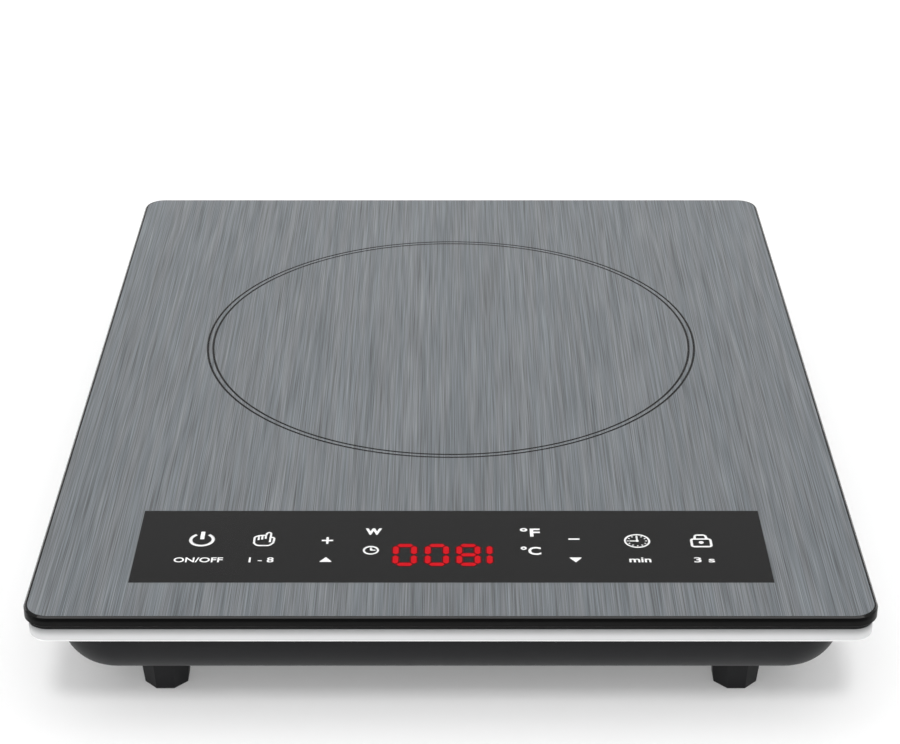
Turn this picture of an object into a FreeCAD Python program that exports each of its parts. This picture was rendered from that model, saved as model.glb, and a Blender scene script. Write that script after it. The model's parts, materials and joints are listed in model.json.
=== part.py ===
"""Portable induction cooktop, modelled as the separate pieces that it is assembled from.

Millimetres. The origin is on the table, under the middle of the glass. +Z is up and the user stands at -Y.
The glass sits on a trim frame, the frame closes a moulded lower housing, and the housing carries the fan,
the coil, the main board and the control board.
"""
import FreeCAD, Part
import math
import operator
import os
from types import SimpleNamespace

import Sketcher

SIZES = {
    # glass, seal and trim frame
    "glass_width": 280,
    "glass_depth": 350,
    "glass_thickness": 4,
    "glass_corner": 8.5,
    "glass_bevel": 0.6,
    "seal_thickness": 1.6,
    "seal_width": 8,
    "seal_inset": 0.2,
    "seal_corner": 4,
    "trim_inset": 1.2,
    "trim_height": 5,
    "trim_wall": 3,
    "trim_plate": 2,
    "trim_rounding": 0.8,
    "trim_ear_width": 13,
    "trim_ear_reach": 6,
    "trim_ear_corner": 3,
    "lip_drop": 3,
    "lip_wall": 1.8,
    "lip_clearance": 0.2,
    # lower housing
    "tub_inset": 13,
    "tub_side_inset": 7.2,
    "tub_wall": 2.5,
    "tub_depth": 23.2,
    "tub_corner": 20,
    "tub_rounding": 15,
    "rim_inset": 2.5,
    "rim_thickness": 1.2,
    "rib_wall": 1.6,
    "rib_height": 3,
    "front_rib_back": 9,
    "rear_rib_back": 62,
    "overlap": 1,
    # feet
    "foot_height": 17,
    "foot_inset": 40.8,
    "foot_top": 18.2,
    "foot_bottom": 14.9,
    "pad_width": 11.2,
    "pad_stand_out": 0.8,
    "pad_seat": 1.5,
    "foot_seat": 10,
    "foot_boss": 7.5,
    # screws and the posts that take them
    "screw_radius": 1.5,
    "screw_head_radius": 2.9,
    "screw_head_height": 2.2,
    "screw_clearance": 0.1,
    "head_clearance": 0.5,
    "post_radius": 5,
    "boss_radius": 4.5,
    "post_inset": 10.5,
    "post_spacing": 118,
    "post_gap": 2.5,
    "post_seat": 6.5,
    "standoff_radius": 3.2,
    "bracket_post_radius": 3.5,
    "standoff_height": 3,
    # power cord entry
    "entry_from_side": 70.3,
    "entry_height": 12,
    "entry_width": 26,
    "entry_rounding": 4,
    "entry_gap": 0.5,
    "entry_bore": 4,
    "gland_wall": 1,
    "gland_flange": 7.5,
    "gland_stand_out": 3,
    "gland_lock": 2.5,
    "gland_collar": 1.2,
    "gland_nose": 0.8,
    "block_length": 33,
    "block_depth": 15,
    "block_height": 14,
    "block_gap": 17,
    "block_step": 4,
    "block_screw_back": 7.5,
    "block_screw_depth": 5,
    "block_mouth": 2,
    "pole_height": 7,
    # fan
    "fan_radius": 40,
    "fan_margin": 24.3,
    "fan_tip_gap": 2,
    "fan_ring_width": 4,
    "fan_blade_height": 9.3,
    "fan_blade_wall": 1.1,
    "fan_blade_start": 24,
    "fan_blade_count": 11,
    "fan_plate": 1.2,
    "fan_lift": 1,
    "fan_hub_radius": 16,
    "fan_hub_wall": 1.4,
    "magnet_wall": 1.8,
    "air_gap": 0.5,
    "shaft_radius": 1.5,
    "shaft_clearance": 0.04,
    "bearing_wall": 0.8,
    "tube_wall": 0.9,
    "frame_plate": 1.6,
    "frame_ring": 2,
    "spoke_width": 5,
    "tube_base": 0.7,
    "tube_drop": 1.6,
    "bearing_lift": 0.6,
    "bearing_drop": 0.4,
    "motor_board_gap": 0.1,
    "motor_board_thickness": 1,
    "core_lift": 2.8,
    "core_drop": 2.4,
    "core_wall": 2,
    "core_fit": 0.02,
    "pole_width": 2.8,
    "shoe_depth": 1.6,
    "winding_lift": 1.4,
    "winding_drop": 1,
    "winding_gap": 0.2,
    "winding_width": 5.4,
    "winding_corner": 0.8,
    "winding_fit": 0.05,
    "rotor_boss": 1.1,
    "rotor_edge": 0.4,
    "rotor_ring_width": 4,
    "rotor_ring_thickness": 1,
    "blade_inset": 0.3,
    "blade_bite": 0.3,
    "magnet_lift": 0.8,
    "shaft_lift": 0.2,
    "scroll_gap": 2.5,
    "grille_bar": 3,
    "grille_slot": 5,
    "vent_width": 4,
    "vent_height": 13,
    "vent_drop": 2.5,
    "vent_pitch": 9,
    "vent_count": 12,
    # coil
    "coil_back": 45,
    "coil_radius": 88,
    "coil_inner": 22,
    "coil_gap": 6,
    "coil_height": 3.5,
    "mica_thickness": 0.8,
    "carrier_thickness": 2.5,
    "carrier_margin": 4,
    "carrier_hole": 18,
    "carrier_band": 5,
    "carrier_web": 8,
    "ear_width": 16,
    "ear_end": 7,
    "ear_reach": 8,
    "ferrite_length": 50,
    "ferrite_width": 11,
    "ferrite_thickness": 3,
    "bush_height": 8,
    "bush_radius": 4,
    "ferrite_start": 6,
    "mica_overlap": 4,
    "sensor_radius": 3.2,
    "sensor_drop": 1,
    "cup_flange": 2.5,
    "cup_floor": 1,
    "cup_base": 9,
    "cup_top": 7,
    # main board
    "board_width": 100,
    "board_depth": 162,
    "board_thickness": 1.6,
    "board_margin": 24.3,
    "board_back": 101.5,
    "board_hole_inset": 5,
    "board_corner": 2,
    "part_height": 12.5,
    "stud_radius": 1.8,
    "stud_height": 7,
    "stud_inset": 12,
    "stud_from_left": 16,
    "stud_pitch": 22,
    "header_height": 6,
    "header_depth": 6,
    "header_width": 8,
    "header_inset": 1,
    "sink_length": 48,
    "sink_width": 58,
    "sink_base": 2.5,
    "sink_fin": 1.4,
    "sink_fin_count": 9,
    "sink_leg": 2,
    "sink_from_left": 9,
    "sink_from_rear": 22,
    "package_height": 4.8,
    "package_from_left": 12,
    "transistor_width": 15.6,
    "transistor_depth": 20,
    "transistor_start": 3,
    "rectifier_width": 30,
    "rectifier_depth": 18,
    "rectifier_start": 22,
    "leg_thickness": 0.6,
    "leg_reach": 3,
    "leg_foot": 0.8,
    "leg_bite": 0.5,
    "film_length": 36,
    "mains_film_length": 28,
    "film_depth": 13,
    "film_corner": 1.2,
    "film_from_right": 2,
    "resonant_place": 24,
    "smoothing_place": 44,
    "mains_place": 62,
    "choke_inner": 6,
    "choke_outer": 15,
    "choke_edge": 2,
    "choke_from_right": 20,
    "choke_place": 82,
    "sensing_from_left": 60,
    "sensing_from_front": 44,
    "sensing_width": 16,
    "sensing_depth": 14,
    "sensing_height": 12,
    "disc_from_left": 50,
    "disc_from_front": 40,
    "disc_radius": 5.5,
    "disc_thickness": 4,
    "disc_lift": 6,
    "disc_wire_gap": 2.5,
    "disc_wire_radius": 0.4,
    "chip_from_left": 14,
    "chip_from_front": 50,
    "chip_width": 12,
    "chip_depth": 18,
    "chip_height": 2.4,
    "supply_from_left": 23,
    "supply_from_front": 22,
    "supply_width": 18,
    "supply_base": 14,
    "supply_foot": 2,
    "supply_lift": 3,
    "supply_core": 8,
    "supply_core_height": 10,
    "bobbin_width": 10,
    "bobbin_depth": 16,
    "bobbin_height": 13,
    "can_from_left": 44,
    "can_from_front": 20,
    "can_pitch": 13,
    "can_radius": 5,
    "can_height": 16,
    "can_edge": 0.8,
    "fuse_from_right": 8,
    "fuse_from_front": 34,
    "fuse_length": 20,
    "fuse_radius": 2.6,
    "fuse_lift": 4.5,
    "clip_width": 6.8,
    "clip_depth": 4,
    "clip_inset": 1,
    # control board
    "control_width": 200,
    "control_depth": 47,
    "control_front": 20.7,
    "control_drop": 6,
    "bracket_thickness": 2.4,
    "bracket_wall": 5,
    "bracket_corner": 3,
    "control_hole_inset": 6,
    "display_width": 43,
    "display_depth": 15,
    "display_shift": 2.5,
    "display_place": 18,
    "display_gap": 0.3,
    "display_corner": 0.8,
    "driver_place": 50,
    "driver_from_front": 6,
    "driver_width": 11,
    "driver_depth": 7,
    "driver_height": 1.8,
    "key_start": 43,
    "key_pitch": 22,
    "key_place": 19,
    "key_radius": 4,
    "light_place": 27.5,
    "light_rear": 16,
    "light_front": 23,
    "light_width": 3.2,
    "light_depth": 2,
    "light_height": 1.4,
    "buzzer_place": 55,
    "buzzer_from_front": 11,
    "buzzer_hole": 0.9,
    "buzzer_radius": 5.5,
    "buzzer_height": 4.5,
    # wiring
    "coil_lead_radius": 1.4,
    "coil_lead_rise": 4,
    "coil_lead_bend": 3,
    "mains_lead_radius": 1.3,
    "mains_lead_bend": 1.8,
    "mains_lead_gap": 0.7,
    "neutral_landing": 28,
    "landing_pitch": 8,
    "landing_inset": 4,
    "signal_lead_radius": 0.8,
    "signal_lead_bend": 1.3,
    "fan_lead_start": 8,
    "fan_lead_lift": 1.5,
    "fan_lead_gap": 3,
    "fan_lead_rise": 3,
    "sensor_lead_drop": 6,
    "ribbon_width": 16,
    "ribbon_thickness": 1,
    "ribbon_inset": 6,
    # long screws
    "screw_floor": 2,
    "coil_screw_bite": 6,
    "control_screw_bite": 5,
}
LEFT, RIGHT = -1, 1
FRONT, REAR = -1, 1
SCROLL_MOUTH = 62
GRILLE_RINGS = 4
GRILLE_GROUPS = 6
MOTOR_POLES = 4
SHOE_ANGLE = 36
BLADE_TIP = -32
BLADE_TAIL = -32.6
BLADE_BEND = 0.62
CARRIER_SPOKES = 8
TRANSISTOR_LEGS = (0.15, 0.5, 0.85)
RECTIFIER_LEGS = (0.1, 0.37, 0.63, 0.9)
CAN_COUNT = 3
INNER_WINDOW_ANGLE = 11
OUTER_WINDOW_ANGLE = 14.5
SIDES = {"left": LEFT, "right": RIGHT}
ENDS = {"front": FRONT, "rear": REAR}

doc = FreeCAD.newDocument("induction_cooktop")
sheet = doc.addObject("Spreadsheet::Sheet", "Size")
nodes = []


# ---------------------------------------------------------------------------------- sizes and expressions


class Length:
    """A number that keeps the spreadsheet expression it comes from."""

    def __init__(self, text, value):
        self.text = text
        self.value = value

    def __add__(self, other):
        return combined(self, "+", other)

    def __radd__(self, other):
        return combined(other, "+", self)

    def __sub__(self, other):
        return combined(self, "-", other)

    def __rsub__(self, other):
        return combined(other, "-", self)

    def __mul__(self, other):
        return combined(self, "*", other)

    def __rmul__(self, other):
        return combined(other, "*", self)

    def __truediv__(self, other):
        return combined(self, "/", other)

    def __neg__(self):
        return combined(0, "-", self)


OPERATIONS = {"+": operator.add, "-": operator.sub, "*": operator.mul, "/": operator.truediv}


def combined(left, sign, right):
    value = OPERATIONS[sign](value_of(left), value_of(right))
    return Length(f"({text_of(left)} {sign} {text_of(right)})", value)


def value_of(length):
    return length.value if isinstance(length, Length) else length


def text_of(length):
    return length.text if isinstance(length, Length) else repr(float(length))


def bind(item, path, length):
    item.setExpression(path, text_of(length))


def fill_sheet():
    """Writes the size table and gives each size back as a bound length."""
    for row, (name, value) in enumerate(SIZES.items(), 1):
        sheet.set(f"A{row}", name)
        sheet.set(f"B{row}", str(value))
        sheet.setAlias(f"B{row}", name)
    doc.recompute()
    return SimpleNamespace(**{name: Length(f"Size.{name}", value) for name, value in SIZES.items()})


def span(along_x, along_y):
    """The length and the heading in degrees of a level step, each with its expression."""
    step_x, step_y = value_of(along_x), value_of(along_y)
    square = along_x * along_x + along_y * along_y
    length = Length(f"sqrt({text_of(square)})", math.hypot(step_x, step_y))
    turned = math.degrees(math.atan2(step_y, step_x))
    heading = Length(f"atan2({text_of(along_y)}; {text_of(along_x)})", turned)
    return length, heading


def polar(x, y, radius, degrees):
    """The point at a radius and a fixed angle about a centre."""
    angle = math.radians(degrees)
    return x + radius * round(math.cos(angle), 9), y + radius * round(math.sin(angle), 9)


# ---------------------------------------------------------------------------------- bodies and sketches


def new_body(label, x=0, y=0, z=0, turn=None):
    body = doc.addObject("PartDesign::Body", label)
    body.Label = label
    if turn is not None:
        body.Placement = FreeCAD.Placement(FreeCAD.Vector(0, 0, 0), turn)
    for axis, length in (("x", x), ("y", y), ("z", z)):
        bind(body, f".Placement.Base.{axis}", length)
    nodes.append(body)
    return body


def origin_item(body, role):
    return next(item for item in body.Origin.OriginFeatures if item.Role == role)


class Outline:
    """A sketch on an origin plane of a body. Its points and radii are bound to the size table.

    The XY plane looks down: an offset raises it. The XZ plane has x to the right and y up, and its offset is
    towards the user. The YZ plane has x to the rear and y up, and its offset is to the right.
    """

    def __init__(self, body, offset=0, role="XY_Plane"):
        self.body = body
        self.sketch = body.newObject("Sketcher::SketchObject", "outline")
        self.sketch.AttachmentSupport = [(origin_item(body, role), "")]
        self.sketch.MapMode = "FlatFace"
        bind(self.sketch, ".AttachmentOffset.Base.z", offset)

    def hold(self, kind, *where):
        return self.sketch.addConstraint(Sketcher.Constraint(kind, *where))

    def hold_length(self, kind, *where, length):
        index = self.hold(kind, *where, value_of(length))
        if isinstance(length, Length):
            bind(self.sketch, f"Constraints[{index}]", length)

    def hold_point(self, item, end, x, y):
        for kind, axis, distance in (("DistanceX", -2, x), ("DistanceY", -1, y)):
            if value_of(distance) == 0:
                self.hold("PointOnObject", item, end, axis)
            else:
                self.hold_length(kind, -1, 1, item, end, length=distance)

    def circle(self, x, y, radius):
        centre = FreeCAD.Vector(value_of(x), value_of(y), 0)
        item = self.sketch.addGeometry(Part.Circle(centre, FreeCAD.Vector(0, 0, 1), value_of(radius)), False)
        self.hold_point(item, 3, x, y)
        self.hold_length("Radius", item, length=radius)
        return self

    def ring(self, x, y, inner, outer):
        return self.circle(x, y, inner).circle(x, y, outer)

    def box(self, low_x, high_x, low_y, high_y):
        return self.path([(low_x, low_y), (high_x, low_y), (high_x, high_y), (low_x, high_y)])

    def path(self, points, radii=None, closed=True):
        """Edges through the points in order.

        A radius bends the edge that starts at its point: above zero turns it left, below zero right.
        """
        count = len(points) if closed else len(points) - 1
        radii = radii or [None] * count
        ends = []
        for number in range(count):
            start = points[number]
            stop = points[(number + 1) % len(points)]
            ends.append(self.edge(start, stop, radii[number]))
        for number, (x, y) in enumerate(points[:count]):
            item, first, _ = ends[number]
            self.hold_point(item, first, x, y)
            if closed or number:
                before, _, last = ends[number - 1]
                self.hold("Coincident", before, last, item, first)
        if not closed:
            item, _, last = ends[-1]
            self.hold_point(item, last, *points[-1])
        return self

    def edge(self, start, stop, radius):
        """Adds one straight or round edge, and gives its number and the names of its two ends."""
        here = FreeCAD.Vector(value_of(start[0]), value_of(start[1]), 0)
        there = FreeCAD.Vector(value_of(stop[0]), value_of(stop[1]), 0)
        if radius is None:
            return self.sketch.addGeometry(Part.LineSegment(here, there), False), 1, 2
        size = abs(value_of(radius))
        left = 1 if value_of(radius) > 0 else -1
        across = there - here
        rise = math.sqrt(size**2 - (across.Length / 2) ** 2)
        normal = FreeCAD.Vector(-across.y, across.x, 0).normalize()
        centre = (here + there) / 2 + normal * rise * left
        low, high = (here, there) if left > 0 else (there, here)
        angles = [math.atan2(point.y - centre.y, point.x - centre.x) for point in (low, high)]
        arc = Part.ArcOfCircle(Part.Circle(centre, FreeCAD.Vector(0, 0, 1), size), *angles)
        item = self.sketch.addGeometry(arc, False)
        self.hold_length("Radius", item, length=radius if left > 0 else -radius)
        return (item, 1, 2) if left > 0 else (item, 2, 1)

    def rounded(self, low_x, high_x, low_y, high_y, radius):
        """A rectangle with round corners."""
        points = [
            (low_x + radius, low_y),
            (high_x - radius, low_y),
            (high_x, low_y + radius),
            (high_x, high_y - radius),
            (high_x - radius, high_y),
            (low_x + radius, high_y),
            (low_x, high_y - radius),
            (low_x, low_y + radius),
        ]
        return self.path(points, [None, radius] * 4)

    def centred(self, half_x, half_y, radius):
        return self.rounded(-half_x, half_x, -half_y, half_y, radius)

    def polygon(self, x, y, corner, count):
        """A regular polygon from the radius to its corners, with a flat side towards +X."""
        step = 360 / count
        return self.path([polar(x, y, corner, step * (number + 0.5)) for number in range(count)])

    def post(self, x, y, corner):
        """The eight-sided outline of posts, pilots, shanks and wires, which repeat too often to be round."""
        return self.polygon(x, y, corner, 8)

    def octagon(self, x, y, across):
        """An eight-sided outline from the width between its flat sides."""
        return self.polygon(x, y, across / 2 / math.cos(math.radians(22.5)), 8)

    def sector(self, x, y, inner, outer, start, stop):
        """A band between two radii and two angles in degrees, with its arcs split into spans under 100."""
        spans = math.ceil((stop - start) / 100)
        angles = [start + (stop - start) * number / spans for number in range(spans + 1)]
        points = [polar(x, y, outer, angle) for angle in angles]
        points += [polar(x, y, inner, angle) for angle in reversed(angles)]
        return self.path(points, [outer] * spans + [None] + [-inner] * spans + [None])

    def pad(self, length, reverse=False):
        feature = self.body.newObject("PartDesign::Pad", "pad")
        feature.Profile = self.sketch
        feature.Reversed = reverse
        bind(feature, "Length", length)
        return feature

    def cut(self, depth, upward=False):
        feature = self.body.newObject("PartDesign::Pocket", "cut")
        feature.Profile = self.sketch
        feature.Reversed = upward
        bind(feature, "Length", depth)
        return feature

    def turn(self):
        """Turns the outline once about the body's own Z axis."""
        feature = self.body.newObject("PartDesign::Revolution", "turned")
        feature.Profile = self.sketch
        feature.ReferenceAxis = (self.sketch, ["V_Axis"])
        feature.Angle = 360
        return feature

    def sweep(self, spine):
        feature = self.body.newObject("PartDesign::AdditivePipe", "swept")
        feature.Profile = self.sketch
        feature.Spine = spine.sketch
        return feature


def repeat_round(body, feature, axis, count):
    """Repeats a feature about an axis, evenly over the full turn."""
    doc.recompute()
    pattern = body.newObject("PartDesign::PolarPattern", "around")
    pattern.Originals = [feature]
    pattern.Axis = axis
    pattern.Angle = 360
    bind(pattern, "Occurrences", count)
    body.Tip = pattern
    return pattern


def repeat_along(body, feature, axis, length, count):
    """Repeats a feature along an axis, evenly over a length."""
    doc.recompute()
    pattern = body.newObject("PartDesign::LinearPattern", "along")
    pattern.Originals = [feature]
    pattern.Direction = axis
    bind(pattern, "Length", length)
    bind(pattern, "Occurrences", count)
    body.Tip = pattern
    return pattern


def finish_edges(body, kind, size, wanted):
    """Adds a Fillet or a Chamfer on the edges of the body that the test picks."""
    doc.recompute()
    base = body.Tip
    names = [f"Edge{number}" for number, edge in enumerate(base.Shape.Edges, 1) if wanted(edge)]
    feature = body.newObject(f"PartDesign::{kind}", kind.lower())
    feature.Base = (base, names)
    bind(feature, {"Fillet": "Radius", "Chamfer": "Size"}[kind], size)
    return feature


def open_shell(body, wall, opening):
    """Hollows the body to one wall thickness and leaves it open at its flat top."""
    doc.recompute()
    base = body.Tip
    top = [f"Face{number}" for number, face in enumerate(base.Shape.Faces, 1) if lies_at(opening)(face)]
    feature = body.newObject("PartDesign::Thickness", "shell")
    feature.Base = (base, top)
    feature.Reversed = True
    bind(feature, "Value", wall)
    return feature


def lies_at(height):
    """Picks the edges or faces that lie flat at one height."""
    level = value_of(height)
    return lambda item: abs(item.BoundBox.ZMin - level) < 1e-4 and abs(item.BoundBox.ZMax - level) < 1e-4


def stands(edge):
    """Picks upright straight edges."""
    box = edge.BoundBox
    return box.XLength < 1e-4 and box.YLength < 1e-4


def block(label, low_x, high_x, low_y, high_y, bottom, top, edge=None):
    """A plain rectangular piece, with its upright edges rounded if a radius is given."""
    body = new_body(label)
    Outline(body, bottom).box(low_x, high_x, low_y, high_y).pad(top - bottom)
    if edge is not None:
        finish_edges(body, "Fillet", edge, stands)
    return body


def screws(label, groups, depth, head_up=True):
    """Equal hexagon-head screws in groups of places and seat heights, with the shank going down or up."""
    body = new_body(label)
    height = size.screw_head_height
    for places, seat in groups:
        head = Outline(body, seat if head_up else seat - height)
        shank = Outline(body, seat - depth if head_up else seat)
        for x, y in places:
            head.polygon(x, y, size.screw_head_radius, 6)
            shank.post(x, y, size.screw_radius)
        head.pad(height)
        shank.pad(depth)


def wire_path(body, route, role, offset, bend):
    """The middle line of a wire in one upright plane, each right-angled corner rounded by one radius."""
    points = [route[0]]
    radii = [None]
    for before, here, after in zip(route, route[1:], route[2:]):
        turn, start, stop = rounded_corner(before, here, after, bend)
        points += [start, stop]
        radii += [turn, None]
    points.append(route[-1])
    return Outline(body, offset, role).path(points, radii, closed=False)


def rounded_corner(before, here, after, bend):
    """Where a bend starts and stops beside a right-angled corner, and its radius, signed by its turn."""
    incoming = direction(before, here)
    outgoing = direction(here, after)
    start = (here[0] - incoming[0] * bend, here[1] - incoming[1] * bend)
    stop = (here[0] + outgoing[0] * bend, here[1] + outgoing[1] * bend)
    left = incoming[0] * outgoing[1] - incoming[1] * outgoing[0]
    return (bend if left > 0 else -bend), start, stop


def direction(start, stop):
    """The unit step between two points that share a coordinate."""
    step = [value_of(stop[axis]) - value_of(start[axis]) for axis in (0, 1)]
    return tuple((value > 1e-6) - (value < -1e-6) for value in step)


size = fill_sheet()

# ---------------------------------------------------------------------------------- levels and places

floor_bottom = size.foot_height
floor_top = floor_bottom + size.tub_wall
rim_bottom = floor_bottom + size.tub_depth
trim_bottom = rim_bottom + size.rim_thickness
trim_top = trim_bottom + size.trim_height
glass_bottom = trim_top + size.seal_thickness
glass_top = glass_bottom + size.glass_thickness

glass_x = size.glass_width / 2
glass_y = size.glass_depth / 2
trim_x = glass_x - size.trim_inset
trim_y = glass_y - size.trim_inset
trim_corner = size.glass_corner - size.trim_inset
rim_x = trim_x - size.rim_inset
rim_y = trim_y - size.rim_inset
rim_corner = trim_corner - size.rim_inset
tub_x = glass_x - size.tub_side_inset
tub_y = glass_y - size.tub_inset
inner_x = tub_x - size.tub_wall
inner_y = tub_y - size.tub_wall
inner_corner = size.tub_corner - size.tub_wall
lip_x = inner_x - size.lip_clearance
lip_y = inner_y - size.lip_clearance
lip_corner = inner_corner - size.lip_clearance

post_top = trim_bottom - size.post_gap
post_seat = post_top - size.post_seat
post_x = inner_x - size.post_inset
posts = [(side * post_x, end * size.post_spacing) for side in (LEFT, RIGHT) for end in (FRONT, 0, REAR)]
screw_hole = size.screw_radius + size.screw_clearance
head_hole = size.screw_head_radius + size.head_clearance

foot_x = glass_x - size.foot_inset
foot_y = glass_y - size.foot_inset
feet = [(side * foot_x, end * foot_y) for side in (LEFT, RIGHT) for end in (FRONT, REAR)]
foot_base = size.pad_stand_out
foot_boss_top = floor_top + size.foot_boss

entry_x = inner_x - size.entry_from_side
entry_z = floor_bottom + size.entry_height
block_rear = inner_y - size.block_gap
block_front = block_rear - size.block_depth
pole_level = floor_top + size.pole_height

standoff_top = floor_top + size.standoff_height
fan_x = -(inner_x - size.fan_margin - size.fan_radius - size.fan_tip_gap - size.fan_ring_width)
fan_y = 0
frame_inner = size.fan_radius + size.fan_tip_gap
frame_outer = frame_inner + size.fan_ring_width
scroll_inner = frame_outer + size.scroll_gap
frame_bottom = standoff_top
frame_top = frame_bottom + size.frame_ring
plate_top = frame_bottom + size.frame_plate
blade_bottom = frame_top + size.fan_lift
blade_top = blade_bottom + size.fan_blade_height
rotor_top = blade_top + size.fan_plate
hub_inner = size.fan_hub_radius - size.fan_hub_wall
magnet_inner = hub_inner - size.magnet_wall
stator_radius = magnet_inner - size.air_gap
bearing_inner = size.shaft_radius + size.shaft_clearance
bearing_outer = bearing_inner + size.bearing_wall
tube_outer = bearing_outer + size.tube_wall
tube_floor = frame_bottom + size.tube_base
tube_top = blade_top - size.tube_drop
core_bottom = plate_top + size.core_lift
core_top = tube_top - size.core_drop
mount_angles = (45, 135, 225, 315)
mount_radius = frame_inner + size.fan_ring_width / 2
fan_mounts = [polar(fan_x, fan_y, mount_radius, angle) for angle in mount_angles]

coil_x = 0
coil_y = tub_y - size.coil_back - size.coil_radius
carrier_radius = size.coil_radius + size.carrier_margin
ear_radius = carrier_radius + size.ear_reach
coil_bottom = glass_bottom - size.mica_thickness - size.coil_height
carrier_bottom = coil_bottom - size.carrier_thickness
ferrite_bottom = carrier_bottom - size.ferrite_thickness
coil_middle = (size.coil_inner + size.coil_radius) / 2
coil_post_top = carrier_bottom - size.bush_height
ear_angles = (30, 150, 270)
ears = [polar(coil_x, coil_y, ear_radius, angle) for angle in ear_angles]
inner_window = (size.coil_inner + size.carrier_band, coil_middle - size.carrier_web / 2)
outer_window = (coil_middle + size.carrier_web / 2, size.coil_radius - size.carrier_band)
coil_ends = [polar(coil_x, coil_y, (low + high) / 2, 45) for low, high in (inner_window, outer_window)]

board_right = inner_x - size.board_margin
board_left = board_right - size.board_width
board_rear = inner_y - size.board_back
board_front = board_rear - size.board_depth
board_top = standoff_top + size.board_thickness
board_holes = [
    (x, y)
    for x in (board_left + size.board_hole_inset, board_right - size.board_hole_inset)
    for y in (board_front + size.board_hole_inset, board_rear - size.board_hole_inset)
]
sink_rear = board_rear - size.sink_from_rear

control_bottom = glass_bottom - size.control_drop - size.board_thickness
control_top = glass_bottom - size.control_drop
control_x = size.control_width / 2
control_front = size.control_front - glass_y
control_rear = control_front + size.control_depth
bracket_bottom = control_bottom - size.bracket_thickness
ribbon_x = control_x * 2 / 3 - size.bracket_wall * 3 / 4
control_holes = [
    (side * (control_x - size.control_hole_inset), y)
    for side in (LEFT, RIGHT)
    for y in (control_front + size.control_hole_inset, control_rear - size.control_hole_inset)
]


# ---------------------------------------------------------------------------------- glass and trim


def glass_plate():
    body = new_body("glass_top")
    Outline(body, glass_bottom).centred(glass_x, glass_y, size.glass_corner).pad(size.glass_thickness)
    finish_edges(body, "Chamfer", size.glass_bevel, lies_at(glass_top))
    finish_edges(body, "Chamfer", size.glass_bevel / 2, lies_at(glass_bottom))


def glass_seal():
    body = new_body("glass_seal")
    outer_x = trim_x - size.seal_inset
    outer_y = trim_y - size.seal_inset
    ring = Outline(body, trim_top).centred(outer_x, outer_y, trim_corner - size.seal_inset)
    ring.centred(outer_x - size.seal_width, outer_y - size.seal_width, size.seal_corner)
    ring.pad(size.seal_thickness)


def trim_frame():
    """The frame under the glass: a channel section with a lip that drops into the housing, and six ears."""
    body = new_body("trim_frame")
    bar = Outline(body, trim_bottom).centred(trim_x, trim_y, trim_corner)
    inner_wall = size.lip_wall
    bar.centred(lip_x - inner_wall, lip_y - inner_wall, lip_corner - inner_wall)
    bar.pad(size.trim_height)
    outer_edge = lies_at(trim_bottom)
    finish_edges(
        body,
        "Fillet",
        size.trim_rounding,
        lambda edge: outer_edge(edge) and reaches_outside(edge, tub_x, tub_y),
    )
    channel = Outline(body, trim_bottom)
    channel_corner = trim_corner - size.trim_wall
    channel.centred(trim_x - size.trim_wall, trim_y - size.trim_wall, channel_corner)
    channel.centred(tub_x, tub_y, size.tub_corner)
    channel.cut(size.trim_height - size.trim_plate, upward=True)
    lip = Outline(body, trim_bottom - size.lip_drop).centred(lip_x, lip_y, lip_corner)
    lip.centred(lip_x - inner_wall, lip_y - inner_wall, lip_corner - inner_wall)
    lip.pad(size.lip_drop + size.overlap)
    plates = Outline(body, trim_top - size.trim_plate)
    bosses = Outline(body, post_top)
    pilots = Outline(body, trim_top - size.trim_plate / 2)
    half = size.trim_ear_width / 2
    for x, y in posts:
        side = RIGHT if value_of(x) > 0 else LEFT
        reach = (side * (post_x - size.trim_ear_reach), side * (inner_x + size.overlap))
        low, high = sorted(reach, key=value_of)
        plates.rounded(low, high, y - half, y + half, size.trim_ear_corner)
        bosses.post(x, y, size.boss_radius)
        pilots.post(x, y, screw_hole)
    plates.pad(size.trim_plate)
    bosses.pad(trim_top - size.trim_plate / 2 - post_top)
    pilots.cut(trim_top - size.trim_plate / 2 - post_top)


def reaches_outside(edge, half_x, half_y):
    """Whether an edge lies wholly outside a rectangle about the middle."""
    middle = edge.valueAt((edge.FirstParameter + edge.LastParameter) / 2)
    return abs(middle.x) > value_of(half_x + size.overlap) or abs(middle.y) > value_of(half_y + size.overlap)


# ---------------------------------------------------------------------------------- lower housing


def lower_housing():
    """The moulded tub: rounded shell and rim, then posts and ribs, then vents and bores."""
    body = new_body("lower_housing")
    Outline(body, floor_bottom).centred(tub_x, tub_y, size.tub_corner).pad(trim_bottom - floor_bottom)
    finish_edges(body, "Fillet", size.tub_rounding, lies_at(floor_bottom))
    open_shell(body, size.tub_wall, trim_bottom)
    housing_rim(body)
    cord_entry(body)
    housing_posts(body)
    fan_scroll(body)
    floor_ribs(body)
    housing_bores(body)
    fan_grille(body)
    rear_vents(body)


def housing_rim(body):
    rim = Outline(body, rim_bottom)
    rim.centred(rim_x, rim_y, rim_corner)
    middle = size.tub_wall / 2
    rim.centred(tub_x - middle, tub_y - middle, size.tub_corner - middle)
    rim.pad(size.rim_thickness)


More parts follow.
